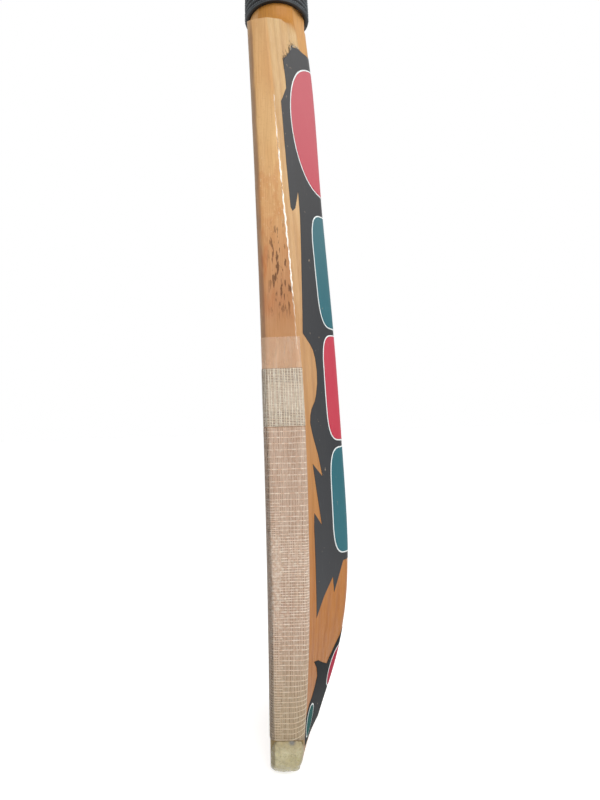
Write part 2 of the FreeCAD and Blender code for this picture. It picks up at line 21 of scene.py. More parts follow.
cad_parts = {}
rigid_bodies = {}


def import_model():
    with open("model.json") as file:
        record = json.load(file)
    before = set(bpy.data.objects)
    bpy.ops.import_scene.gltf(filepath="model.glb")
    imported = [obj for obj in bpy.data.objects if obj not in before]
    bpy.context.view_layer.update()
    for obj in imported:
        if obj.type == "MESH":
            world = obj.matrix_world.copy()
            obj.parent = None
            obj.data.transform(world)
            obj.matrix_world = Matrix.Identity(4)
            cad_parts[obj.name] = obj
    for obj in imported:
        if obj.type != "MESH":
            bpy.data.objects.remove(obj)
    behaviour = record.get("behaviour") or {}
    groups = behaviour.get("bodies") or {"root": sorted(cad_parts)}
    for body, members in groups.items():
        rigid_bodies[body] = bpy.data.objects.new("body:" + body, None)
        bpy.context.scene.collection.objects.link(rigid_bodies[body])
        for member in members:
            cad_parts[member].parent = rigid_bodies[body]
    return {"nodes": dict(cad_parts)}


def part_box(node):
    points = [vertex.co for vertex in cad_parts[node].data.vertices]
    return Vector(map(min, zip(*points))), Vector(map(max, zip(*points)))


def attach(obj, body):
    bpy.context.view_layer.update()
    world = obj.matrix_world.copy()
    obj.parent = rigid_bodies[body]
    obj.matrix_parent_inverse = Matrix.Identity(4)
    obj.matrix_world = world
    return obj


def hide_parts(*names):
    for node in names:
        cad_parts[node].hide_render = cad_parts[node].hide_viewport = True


for leftover in list(bpy.data.objects):
    bpy.data.objects.remove(leftover)
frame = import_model()
bpy.context.view_layer.update()

MM = 0.001
OUTSIDE = 0.2  # where a ray starts that has to begin outside the bat, in metres
BODY = "root"
log = logging.getLogger("cricket_bat")


# ------------------------------------------------------------------------------------------------------------
# Finishes

Socket = bpy.types.NodeSocket
WHITE = (1.0, 1.0, 1.0, 1.0)
POLYMER_IOR = 1.5


def linear(hex_colour: str) -> tuple[float, float, float, float]:
    """Turn an sRGB hex colour into the linear colour that a shader takes.

    Args:
        hex_colour: six hex digits after a #.

    Returns:
        Linear red, green and blue, and an alpha of 1.
    """
    digits = hex_colour.lstrip("#")
    channels = [int(digits[i : i + 2], 16) / 255 for i in (0, 2, 4)]
    values = [c / 12.92 if c <= 0.04045 else ((c + 0.055) / 1.055) ** 2.4 for c in channels]
    return (*values, 1.0)


def fill(tree: bpy.types.NodeTree, node: bpy.types.Node, inputs: dict) -> None:
    """Set some inputs of a node, or link them where the value is another node's socket."""
    for key, value in inputs.items():
        if isinstance(value, Socket):
            tree.links.new(value, node.inputs[key])
        else:
            node.inputs[key].default_value = value


def add(
    tree: bpy.types.NodeTree, kind: str, inputs: dict | None = None, **settings: object
) -> bpy.types.Node:
    """Add one node, set its properties and fill its inputs.

    Args:
        tree: the material's node tree.
        kind: the node's type, such as ShaderNodeMath.
        inputs: a value or another node's socket for each input, by name or number.
        settings: the node's own properties.

    Returns:
        The new node.
    """
    new = tree.nodes.new(kind)
    for key, value in settings.items():
        setattr(new, key, value)
    fill(tree, new, inputs or {})
    return new


def seen_directly(tree: bpy.types.NodeTree) -> Socket:
    """Tell rays that the camera sees straight, mirrored or through something clear (1) from the rest (0)."""
    light = add(tree, "ShaderNodeLightPath").outputs
    seen = light["Is Camera Ray"]
    for other in ("Is Glossy Ray", "Is Transmission Ray"):
        seen = add(tree, "ShaderNodeMath", {0: seen, 1: light[other]}, operation="MAXIMUM").outputs[0]
    return seen


class Shading:
    """One material's nodes, the colour built up on it so far, and short ways to add to them.

    Places (mm, x, y, z) are in millimetres in the bat's frame. The facing is the surface's normal.
    """

    def __init__(self, name: str, roughness: float, tone: str | None) -> None:
        """Make the material with its shader.

        Args:
            name: its name.
            roughness: how matt it is.
            tone: the colour that it starts from, where there is only one.
        """
        self.material = bpy.data.materials.new(name)
        self.material.use_nodes = True
        self.tree = self.material.node_tree
        self.shader = self.tree.nodes["Principled BSDF"]
        self.colour: Socket | str | None = tone
        self.put({"Roughness": roughness, "IOR": POLYMER_IOR})
        spot = add(self.tree, "ShaderNodeTexCoord").outputs
        scaled = {0: spot["Object"], "Scale": 1 / MM}
        self.mm = add(self.tree, "ShaderNodeVectorMath", scaled, operation="SCALE").outputs[0]
        self.x, self.y, self.z = add(self.tree, "ShaderNodeSeparateXYZ", {0: self.mm}).outputs
        self.facing = add(self.tree, "ShaderNodeSeparateXYZ", {0: spot["Normal"]}).outputs
        self.sideways = self.math("ABSOLUTE", self.facing[0])

    def put(self, inputs: dict) -> None:
        """Set or link some of the shader's inputs."""
        fill(self.tree, self.shader, inputs)

    def math(self, operation: str, *values: Socket | float) -> Socket:
        """One sum on one, two or three values."""
        return add(self.tree, "ShaderNodeMath", dict(enumerate(values)), operation=operation).outputs[0]

    def times(self, *values: Socket | float) -> Socket | float:
        """Multiply several values."""
        product = values[0]
        for value in values[1:]:
            product = self.math("MULTIPLY", product, value)
        return product

    def between(self, value: Socket, low: float, high: float, start: float = 0.0, end: float = 1.0) -> Socket:
        """Ease from start to end as a value goes from low to high."""
        inputs = {"Value": value, "From Min": low, "From Max": high, "To Min": start, "To Max": end}
        return add(self.tree, "ShaderNodeMapRange", inputs, interpolation_type="SMOOTHSTEP").outputs[0]

    def band(self, value: Socket, rising: float, risen: float, falling: float, fallen: float) -> Socket:
        """1 in the middle of a range, eased up from 0 before it and down to 0 after it."""
        return self.times(self.between(value, rising, risen), self.between(value, falling, fallen, 1.0, 0.0))

    def noise(self, per_mm: tuple[float, float, float] | float, detail: float) -> Socket:
        """Noise whose cells have a real size, about 0.5 on average.

        Args:
            per_mm: cells per millimetre along X, Y and Z, or one number for all three.
            detail: how many finer layers it has.

        Returns:
            The noise's value.
        """
        cells = per_mm if isinstance(per_mm, tuple) else (per_mm,) * 3
        scaled = add(self.tree, "ShaderNodeVectorMath", {0: self.mm, 1: cells}, operation="MULTIPLY")
        inputs = {"Vector": scaled.outputs[0], "Scale": 1.0, "Detail": detail}
        return add(self.tree, "ShaderNodeTexNoise", inputs).outputs["Fac"]

    def patches(self, per_mm: tuple[float, float, float] | float, detail: float, *ends: float) -> Socket:
        """Noise eased into patches: the ends are what between() takes."""
        return self.between(self.noise(per_mm, detail), *ends)

    def face_corner_shade(self) -> Socket:
        """Painted shade where the surface turns from an edge to the face, deeper towards the toe."""
        toward_face = self.between(self.facing[1], -0.46, -0.20, 1.0, 0.0)
        low = self.between(self.z, 100.0, 350.0, 1.0, 0.78)
        return self.times(toward_face, self.between(self.sideways, 0.04, 0.35), low)

    def ramp(self, value: Socket, stops: Sequence[tuple[float, str]]) -> Socket:
        """Turn a value into a colour through stops, of which the first two are the ends."""
        node = add(self.tree, "ShaderNodeValToRGB", {0: value})
        elements = node.color_ramp.elements
        for index, (place, colour) in enumerate(stops):
            stop = elements[index] if index < 2 else elements.new(place)
            stop.position, stop.color = place, linear(colour)
        return node.outputs[0]

    def mixed(
        self, share: Socket | float, first: Socket | str, second: Socket | str, blend: str = "MIX"
    ) -> Socket:
        """Mix two colours, each a socket or hex digits: the share is how much of the second shows."""
        first, second = (linear(c) if isinstance(c, str) else c for c in (first, second))
        inputs = {0: share, 6: first, 7: second}
        return add(self.tree, "ShaderNodeMix", inputs, data_type="RGBA", blend_type=blend).outputs[2]

    def tint(self, second: Socket | str, *shares: Socket | float, blend: str = "MIX") -> None:
        """Lay another colour over what is there, as much as the shares multiply to."""
        self.colour = self.mixed(self.times(*shares), self.colour, second, blend)

    def bump(self, height: Socket, depth_mm: float) -> None:
        """Give the shader a relief, where a height of 1 stands for the depth."""
        inputs = {"Height": height, "Distance": depth_mm * MM, "Strength": 1.0}
        self.put({"Normal": add(self.tree, "ShaderNodeBump", inputs).outputs[0]})

    def finished(self) -> bpy.types.Material:
        """Give the shader its colour and hand the material over."""
        self.put({"Base Color": self.colour})
        return self.material


@dataclass(frozen=True)
class Finish:
    """What every finish shares: its name and how matt it is."""

    name: str
    roughness: float

    def start(self, tone: str | None = None) -> Shading:
        """Begin the material."""
        return Shading(self.name, self.roughness, tone)


@dataclass(frozen=True)
class OiledWillow(Finish):
    """White willow, sanded, oiled and played with: growth lines, fine fibres, bruises and oil stains."""

    blade_mm: float = 571.0
    ring_mm: float = 9.5
    fibre_mm: float = 0.45
    bruised_mm: tuple[float, float] = (318.0, 398.0)

    def make(self) -> bpy.types.Material:
        """Make the material: the edges and the flanks have their own tones, each darker at the toe and mostly
        paler higher up, and the cut shoulders are deeper orange, partly their own tone and partly painted
        shade under the grip.
        """
        n = self.start()
        on_edge = n.between(n.sideways, 0.72, 0.90)
        height = n.times(n.z, 1 / self.blade_mm)
        edge = n.ramp(height, [
            (0.0, "#BE9B74"), (1.0, "#D6B482"), (0.30, "#CBA17A"), (0.54, "#D3A47A"), (0.59, "#CF996E"),
            (0.64, "#D3A071"), (0.70, "#E2B27C"), (0.80, "#EBC38A"), (0.88, "#E6BA80"),
        ])
        flank = n.ramp(height, [
            (0.0, "#A8691F"), (1.0, "#DDBE8C"), (0.20, "#B8752C"), (0.34, "#C48A4C"), (0.50, "#CFA16E"),
            (0.60, "#D6AC7C"), (0.70, "#E2BC8A"),
        ])
        n.colour = n.mixed(on_edge, flank, edge)
        # Deeper orange above the shoulders: partly the cut wood's tone, partly painted shade under the grip.
        n.tint("#C48A3E", n.between(n.z, 547.0, 556.0))

        rings = n.math("MULTIPLY_ADD", n.noise((0.02, 0.02, 0.006), 2.0), 2.2, n.times(n.x, 1 / self.ring_mm))
        late_wood = n.band(n.math("FRACT", rings), 0.35, 0.80, 0.80, 1.0)
        n.tint("#A97846", late_wood, 0.20, blend="MULTIPLY")
        per_fibre = 1 / self.fibre_mm
        fibres = n.patches((per_fibre, per_fibre, 0.035), 4.0, 0.25, 0.75)
        n.tint(n.ramp(fibres, [(0.0, "#E6DACA"), (1.0, "#FFFFFF")]), 0.85, blend="MULTIPLY")
        pores = n.patches((1.6, 1.6, 0.16), 2.0, 0.66, 0.74)
        n.tint("#9A6A3C", pores, 0.25)
        clouds = n.patches((0.045, 0.06, 0.022), 3.0, 0.35, 0.68)
        n.tint("#B8793C", clouds, 0.28)

        low, high = self.bruised_mm
        zone = n.times(n.band(n.z, low, low + 18, high - 22, high), on_edge)
        stain = n.patches((0.05, 0.22, 0.05), 3.0, 0.42, 0.62)
        n.tint("#BA6F3E", stain, zone, n.between(n.y, -22.0, -13.0, 1.0, 0.2), 0.7)
        bruises = n.patches((0.1, 0.60, 0.13), 5.0, 0.545, 0.60)
        bruises = n.times(bruises, zone, n.between(n.y, -21.0, -14.0))
        n.tint("#6A452A", bruises, 0.9)
        worn = n.times(n.band(n.z, 372.0, 396.0, 425.0, 450.0), on_edge)
        n.tint("#C98A52", n.patches((0.1, 0.16, 0.09), 3.0, 0.45, 0.62), worn, 0.45)
        n.tint("#F6E2C2", n.patches((0.3, 0.75, 0.45), 2.0, 0.63, 0.70), worn, 0.22)
        scuffs = n.patches((0.3, 0.35, 1.3), 3.0, 0.56, 0.70)
        n.tint("#B98452", scuffs, on_edge, 0.22)
        # Painted shade on the corner towards the face, broken up in patches and fading out below the shoulder.
        shade_patches = n.patches((0.25, 0.25, 0.05), 3.0, 0.25, 0.6, 0.5, 0.9)
        n.tint("#7E604E", n.face_corner_shade(), shade_patches, n.between(n.z, 520.0, 548.0, 1.0, 0.0))
        glue = n.between(n.z, 24.0, 36.0, 1.0, 0.0)
        n.tint("#857447", glue, n.between(n.sideways, 0.1, 0.4, 0.6, 0.9))

        n.bump(n.math("MULTIPLY_ADD", bruises, -1.5, fibres), 0.09)
        gloss = n.patches((0.4, 0.4, 0.05), 3.0, 0.3, 0.7)
        gloss = n.math("MULTIPLY_ADD", gloss, 0.16, self.roughness - 0.08)
        n.put({"Specular IOR Level": 0.25, "Roughness": gloss})
        return n.finished()


@dataclass(frozen=True)
class SplitCane(Finish):
    """Sarawak cane, planed and glued: straw coloured, with long dark vessels."""

    tone: str = "#CB9654"
    vessel_mm: float = 0.8

    def make(self) -> bpy.types.Material:
        """Make the material, with vessels along the handle."""
        n = self.start(self.tone)
        per_vessel = 1 / self.vessel_mm
        vessels = n.noise((per_vessel, per_vessel, 0.02), 3.0)
        n.tint("#A06F45", n.between(vessels, 0.52, 0.66), 0.5)
        n.tint("#C58A48", n.patches((0.08, 0.08, 0.01), 2.0, 0.3, 0.7), 0.4)
        n.bump(vessels, 0.08)
        return n.finished()


@dataclass(frozen=True)
class MouldedRubber(Finish):
    """Moulded natural rubber: matt and faintly grained; what stands proud is paler, partly dusty and greasy
    from hands and partly a painted highlight.
    """

    tone: str = "#393F44"
    worn: str = "#666C70"
    rib_gap_shade: str = "#0B0D0F"
    grain_mm: float = 0.35
    ribbed: bool = False

    def make(self) -> bpy.types.Material:
        """Make the material, mottled and grained, with painted shade between its ribs and a painted highlight
        on its crests.
        """
        n = self.start(self.tone)
        n.tint(self.worn, n.patches(0.12, 4.0, 0.35, 0.7), 0.6)
        n.tint(self.worn, n.patches(1.1, 2.0, 0.5, 0.7), 0.35)
        if self.ribbed:
            crest = add(n.tree, "ShaderNodeAttribute", attribute_name="crest").outputs["Fac"]
            # Painted shade between the ribs.
            n.tint(self.rib_gap_shade, n.between(crest, 0.25, 0.90, 0.98, 0.0))
            # Paler crests: partly wear, partly a painted highlight.
            n.tint(self.worn, n.between(crest, 0.62, 0.95, 0.0, 0.75))
        n.bump(n.noise(1 / self.grain_mm, 2.0), 0.12)
        return n.finished()


@dataclass(frozen=True)
class WaxedTwine(Finish):
    """Waxed linen twine wound close round the cane: fine rings a turn apart, brown with wax."""

    tone: str = "#6B5235"
    crest: str = "#A98A5E"
    turn_mm: float = 1.1

    def make(self) -> bpy.types.Material:
        """Make the material, one ring for each turn."""
        n = self.start(self.tone)
        ridge = n.between(n.math("SINE", n.times(n.z, math.tau / self.turn_mm)), -1.0, 1.0)
        n.tint(self.crest, ridge)
        n.tint("#4E3B26", n.noise((1.5, 1.5, 3.0), 2.0), 0.3)
        n.bump(ridge, 0.4)
        return n.finished()


@dataclass(frozen=True)
class GlueSoakedGuard(Finish):
    """Gum rubber toe strip under old varnish: khaki, translucent, glossy where glue pooled, dark in seams."""

    tone: str = "#B5A97E"
    thin: str = "#C8BE98"
    seam: str = "#6E6544"
    spot_mm: tuple[float, float, float] = (54.0, -12.9, 26.0)

    def make(self) -> bpy.types.Material:
        """Make the material, with cloudy rubber, dark seams, wet looking patches and one dark spot."""
        n = self.start(self.tone)
        n.tint(self.thin, n.patches((0.10, 0.16, 0.16), 4.0, 0.3, 0.7))
        off_middle = n.math("ABSOLUTE", n.math("SUBTRACT", n.noise(0.22, 4.0), 0.5))
        n.tint(self.seam, n.between(off_middle, 0.0, 0.022, 1.0, 0.0), 0.5)
        n.tint("#9A9269", n.between(n.z, 1.0, 9.0, 0.55, 0.0))
        soaked = n.math("MULTIPLY_ADD", n.noise((0.2, 0.3, 0.3), 3.0), 10.0, n.z)
        n.tint("#A5936A", n.between(soaked, 22.0, 33.0, 0.0, 0.85))
        n.tint("#8A8263", n.between(n.facing[1], 0.2, 0.7, 0.0, 0.6))
        # Painted shade on the guard's corner towards the face.
        n.tint("#6F6238", n.face_corner_shade(), 0.85)
        away = add(n.tree, "ShaderNodeVectorMath", {0: n.mm, 1: self.spot_mm}, operation="DISTANCE")
        n.tint("#5C6066", n.between(away.outputs["Value"], 0.8, 3.2, 0.75, 0.0))
        n.bump(n.noise(0.45, 3.0), 0.5)
        n.put({
            "Roughness": n.patches(0.2, 2.0, 0.45, 0.6, 0.45, 0.16),
            "Subsurface Weight": 0.25, "Subsurface Radius": (0.004, 0.003, 0.0015),
            "Coat Weight": 0.5, "Coat Roughness": 0.15,
        })
        return n.finished()


@dataclass(frozen=True)
class ClearFilm(Finish):
    """Clear polyester film, rolled on and scuffed: it milks the wood a little, more where it lifted."""

    tone: str = "#F0CAA6"
    cover: float = 0.32

    def make(self) -> bpy.types.Material:
        """Make the material, mostly see-through with fine lengthwise scuffs."""
        n = self.start(self.tone)
        scuffs = n.patches((0.9, 0.9, 0.03), 4.0, 0.5, 0.75)
        n.tint("#EFE5DA", scuffs, 0.5)
        lifted = n.patches((0.06, 0.12, 0.03), 3.0, 0.45, 0.75)
        n.put({"Alpha": n.math("MULTIPLY_ADD", lifted, 0.25, self.cover)})
        n.bump(scuffs, 0.02)
        return n.finished()


@dataclass(frozen=True)
class VarnishedScrim(Finish):
    """The cloth of a fibre tape under its varnish: half see-through, with threads too fine to model."""

    tone: str = "#DAB59B"
    thread: str = "#E6CDB8"
    gap: str = "#AE8668"
    foot: str = "#B8A27E"
    corner_shade: str = "#5A493A"
    hole: str = "#5E4636"
    foot_mm: float = 120.0
    cover: float = 0.62
    thread_mm: float = 0.75
    hole_mm: float = 1.45
    open_ends: tuple[float, float] | None = None

    def dots(self, n: Shading) -> Socket:
        """Rows of small round gaps between the threads, as 1 in a gap and 0 between them."""
        turns = [n.math("SINE", n.times(axis, math.tau / self.hole_mm)) for axis in (n.y, n.z)]
        waves = n.times(*(n.between(turn, -1.0, 1.0) for turn in turns))
        return n.times(n.between(waves, 0.35, 0.6), n.patches((0.1, 0.35, 0.35), 2.0, 0.35, 0.6))

    def make(self) -> bpy.types.Material:
        """Make the material, drawn with threads a little coarser than real so that they show."""
        n = self.start(self.tone)
        per_thread = 1 / self.thread_mm
        along = n.noise((per_thread, per_thread, 0.05), 2.0)
        across = n.noise((0.07, 0.07, per_thread), 2.0)
        lit = n.between(along, 0.42, 0.62)
        n.tint(self.thread, lit, 0.55)
        n.tint(self.thread, n.between(across, 0.45, 0.62), 0.45)
        n.tint(self.gap, n.patches((0.06, 0.1, 0.03), 3.0, 0.4, 0.7), 0.4)
        n.tint(self.foot, n.between(n.z, 25.0, self.foot_mm, 0.85, 0.0))
        # Painted shade on the corner towards the face, broken up in patches.
        n.tint(self.corner_shade, n.face_corner_shade(), n.patches((0.3, 0.5, 0.12), 3.0, 0.25, 0.6, 0.6, 0.95))
        cover = n.math("MULTIPLY_ADD", lit, 0.22, self.cover - 0.1)
        if self.open_ends:
            low, high = self.open_ends
            closed = n.band(n.z, low + 8, low + 15, high - 13, high - 7)
            holes = n.times(self.dots(n), n.between(closed, 0.2, 0.8, 1.0, 0.0))
            n.tint(self.hole, holes, 0.75)
            cover = n.math("MAXIMUM", n.times(cover, n.between(closed, 0.0, 1.0, 0.55, 1.0)), holes)
        n.put({"Alpha": cover})
        n.bump(n.math("ADD", along, across), 0.10)
        return n.finished()


@dataclass(frozen=True)
class GlassRoving(Finish):
    """A bundle of glass fibres soaked in varnish: pale, silky, brighter along its crest."""

    tone: str = "#D2B399"
    bright: str = "#F0E2D2"
    foot: str = "#CDBA98"
    corner_shade: str = "#655342"
    foot_mm: float = 110.0

    def make(self) -> bpy.types.Material:
        """Make the material, uneven along each bundle."""
        n = self.start(self.tone)
        n.tint(self.bright, n.patches(0.5, 3.0, 0.35, 0.65))
        n.tint(self.foot, n.between(n.z, 25.0, self.foot_mm, 0.7, 0.0))
        # Painted shade on the corner towards the face.
        n.tint(self.corner_shade, n.face_corner_shade(), 0.88)
        n.put({"Coat Weight": 0.4, "Coat Roughness": 0.2})
        n.bump(n.noise(5.0, 1.0), 0.04)
        return n.finished()


@dataclass(frozen=True)
class HighlightLacquer(Finish):
    """Lacquer that gathered along a corner and set there: lumpy and very glossy, painted near white in patches
    as a highlight.
    """

    tone: str = "#E2BC8A"
    thick: str = "#F7EEDF"

    def make(self) -> bpy.types.Material:
        """Make the material, more opaque where the lacquer is thick and painted near white there as a
        highlight.
        """
        n = self.start(self.tone)
        thick = n.patches((0.3, 0.3, 0.09), 4.0, 0.33, 0.50)
        # Painted highlight: near white where the lacquer is thick.
        n.tint(self.thick, thick)
        n.put({"Alpha": n.between(thick, 0.0, 1.0, 0.40, 1.0), "Coat Weight": 1.0, "Coat Roughness": 0.06})
        n.bump(n.noise(0.9, 2.0), 0.2)
        return n.finished()


@dataclass(frozen=True)
class PrintedVinyl(Finish):
    """Screen printed vinyl: an even colour with a satin face, hair scratches, rubbed spots and a painted sheen
    that pales it higher up.
    """

    tone: str = "#222428"
    rubbed: str = "#5B5A58"
    wear: float = 0.5
    sheen: float = 0.22
    upper_sheen: float = 0.06

    def make(self) -> bpy.types.Material:
        """Make the material, an even print with light wear and a painted sheen higher up."""
        n = self.start(self.tone)
        patches = n.patches((0.05, 0.05, 0.03), 3.0, 0.35, 0.7)
        scratches = n.patches((1.4, 1.4, 0.05), 3.0, 0.64, 0.72)
        nicks = n.patches((0.33, 0.33, 0.25), 5.0, 0.70, 0.74)
        n.tint(self.rubbed, patches, 0.25 * self.wear)
        n.tint(self.rubbed, scratches, 0.4 * self.wear)
        # Painted sheen: paler from 300 mm up to 520 mm.
        n.tint("#C9C4C0", n.between(n.z, 300.0, 520.0, 0.0, self.upper_sheen))
        n.tint("#B9A48C", nicks, 1.2 * self.wear)
        gloss = n.math("MULTIPLY_ADD", patches, 0.12, self.roughness)
        n.put({"Specular IOR Level": self.sheen, "Roughness": gloss})
        n.bump(n.noise((0.8, 0.8, 0.3), 2.0), 0.03)
        return n.finished()


@dataclass(frozen=True)
class StudioPaper(Finish):
    """The pale paper that the bat stands on, seen as bright as the room round it."""

    tone: str = "#E6E6E6"
    seen_glow: float = 0.62

    def make(self) -> bpy.types.Material:
        """Make the material: paper that keeps shadows and runs into the white room."""
        n = self.start(self.tone)
        n.tint("#D6D6D6", n.noise(0.3, 2.0), 0.06)
        n.put({"Emission Color": WHITE, "Emission Strength": n.times(seen_directly(n.tree), self.seen_glow)})
        return n.finished()


# ------------------------------------------------------------------------------------------------------------
# Mesh making


def mesh_object(
    name: str, points: np.ndarray, faces: Sequence, materials: Sequence[bpy.types.Material],
    face_materials: np.ndarray | None = None, smooth: bool = True,
) -> bpy.types.Object:
    """Make a mesh object and put it in the scene.

    Args:
        name: the piece's name.
        points: its points, in metres.
        faces: point numbers of each face.
        materials: its finishes.
        face_materials: which finish each face has, all the first one if left out.
        smooth: whether its faces are shaded smooth.

    Returns:
        The new object.
    """
    mesh = bpy.data.meshes.new(name)
    mesh.from_pydata([tuple(p) for p in points], [], [tuple(int(i) for i in f) for f in faces])
    for material in materials:
        mesh.materials.append(material)
    if face_materials is not None:
        mesh.polygons.foreach_set("material_index", np.asarray(face_materials, np.int32))
    mesh.polygons.foreach_set("use_smooth", np.full(len(mesh.polygons), smooth))
    mesh.update()
    piece = bpy.data.objects.new(name, mesh)
    bpy.context.scene.collection.objects.link(piece)
    return piece


def coat(mesh: bpy.types.Mesh, finish: bpy.types.Material) -> None:
    """Give a mesh one finish in place of those it has."""
    mesh.materials.clear()
    mesh.materials.append(finish)


def grid_faces(rows: int, columns: int, closed: bool = False, first: int = 0) -> np.ndarray:
    """Quads between the rows of a grid of points.

    Args:
        rows: how many rows.
        columns: points in a row.
        closed: whether a row's last point joins its first.
        first: number of the grid's first point.

    Returns:
        One row of four point numbers for each quad.
    """
    across = columns if closed else columns - 1
    r, c = np.meshgrid(np.arange(rows - 1), np.arange(across), indexing="ij")
    after = (c + 1) % columns
    low, high = r * columns, (r + 1) * columns
    quads = np.stack([low + c, low + after, high + after, high + c], -1)
    return quads.reshape(-1, 4) + first


class MeshBundle:
    """Points and faces of one piece, gathered from many strands."""

    def __init__(self) -> None:
        """Start empty."""
        self.points: list[np.ndarray] = []
        self.faces: list = []
        self.kinds: list[int] = []
        self.count = 0

    def take(self, points: np.ndarray, faces: Sequence, kind: int = 0) -> None:
        """Add some points and the faces between them.

        Args:
            points: the points, in metres.
            faces: faces, numbered from these points' first.
            kind: which finish they have.
        """
        self.faces += [[int(i) + self.count for i in face] for face in faces]
        self.kinds += [kind] * len(faces)
        self.points.append(points)
        self.count += len(points)

    def strand(
        self, path: np.ndarray, out: np.ndarray, width: np.ndarray | float, height: np.ndarray | float,
        sides: int, kind: int,
    ) -> None:
        """Add a closed strand of flattened round section.

        Args:
            path: points along its middle.
            out: the outward direction at each of them.
            width: its width along the surface at each point or all along, in metres.
            height: its height off the surface at each point or all along, in metres.
            sides: how many sides its section has.
            kind: which finish it has.
        """
        along = np.gradient(path, axis=0)
        along /= np.linalg.norm(along, axis=1)[:, None]
        aside = np.cross(along, out)
        aside /= np.linalg.norm(aside, axis=1)[:, None]
        turn = np.arange(sides) / sides * math.tau
        count = len(path)
        wide, tall = (
            np.broadcast_to(np.asarray(v, float), (count,))[:, None, None] / 2 for v in (width, height)
        )
        ring = (
            path[:, None]
            + aside[:, None] * np.cos(turn)[None, :, None] * wide
            + out[:, None] * np.sin(turn)[None, :, None] * tall
        )
        faces = grid_faces(count, sides, closed=True).tolist()
        faces += [list(range(sides))[::-1], [(count - 1) * sides + i for i in range(sides)]]
        self.take(ring.reshape(-1, 3), faces, kind)

    def build(self, name: str, materials: Sequence[bpy.types.Material]) -> bpy.types.Object:
        """Make the piece."""
        return mesh_object(name, np.concatenate(self.points), self.faces, materials, np.array(self.kinds))


class BareSkin:
    """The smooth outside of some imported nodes, for what is laid on them."""

    def __init__(self, *names: str) -> None:
        """Read the nodes' triangles and the normals at their corners."""
        self.corners: list[list[Vector]] = []
        self.normals: list[list[Vector]] = []
        for name in names:
            mesh = frame["nodes"][name].data
            if not len(mesh.loop_triangles):
                mesh.calc_loop_triangles()
            for triangle in mesh.loop_triangles:
                self.corners.append([mesh.vertices[i].co.copy() for i in triangle.vertices])
                self.normals.append([mesh.corner_normals[i].vector.copy() for i in triangle.loops])
        points = [corner for corners in self.corners for corner in corners]
        self.low, self.high = min(p.z for p in points), max(p.z for p in points)
        faces = [(3 * i, 3 * i + 1, 3 * i + 2) for i in range(len(self.corners))]
        self.tree = BVHTree.FromPolygons(points, faces, all_triangles=True)

    def hit(self, start: Sequence[float], along: Sequence[float]) -> tuple[Vector, Vector] | None:
        """Find where a line first meets the skin, and which way the skin faces there.

        The flat triangle is bulged to the curve that its corner normals imply.

        Args:
            start: where the line starts.
            along: its direction.

        Returns:
            The place and the outward normal, or None where it misses.
        """
        spot, flat, index, _ = self.tree.ray_cast(Vector(start), Vector(along))
        if spot is None:
            return None
        corners, normals = self.corners[index], self.normals[index]
        normal = barycentric_transform(spot, *corners, *normals)
        if normal.length < 0.5:
            return spot, flat
        normal.normalize()
        planes = [spot - n * (spot - c).dot(n) for c, n in zip(corners, normals)]
        bulge = (barycentric_transform(spot, *corners, *planes) - spot) / 2
        return (spot + bulge if bulge.dot(normal) > 0 else spot), normal


def read_table(table: np.ndarray, row: np.ndarray, column: np.ndarray) -> np.ndarray:
    """Read a table of numbers or of places between its rows and columns.

    Args:
        table: the table, whose first two axes are its rows and columns.
        row: whole and part rows.
        column: whole and part columns.

    Returns:
        What the table says at each of them.
    """
    r = np.minimum(row.astype(int), table.shape[0] - 2)
    c = np.minimum(column.astype(int), table.shape[1] - 2)
    down, across = (v.reshape(-1, *[1] * (table.ndim - 2)) for v in (row - r, column - c))
    low = table[r, c] * (1 - across) + table[r, c + 1] * across
    high = table[r + 1, c] * (1 - across) + table[r + 1, c + 1] * across
    return low * (1 - down) + high * down


# ------------------------------------------------------------------------------------------------------------
# The bat's own pieces


class Side(Enum):
    """Which edge of the bat."""

    NEAR = 1
    FAR = -1


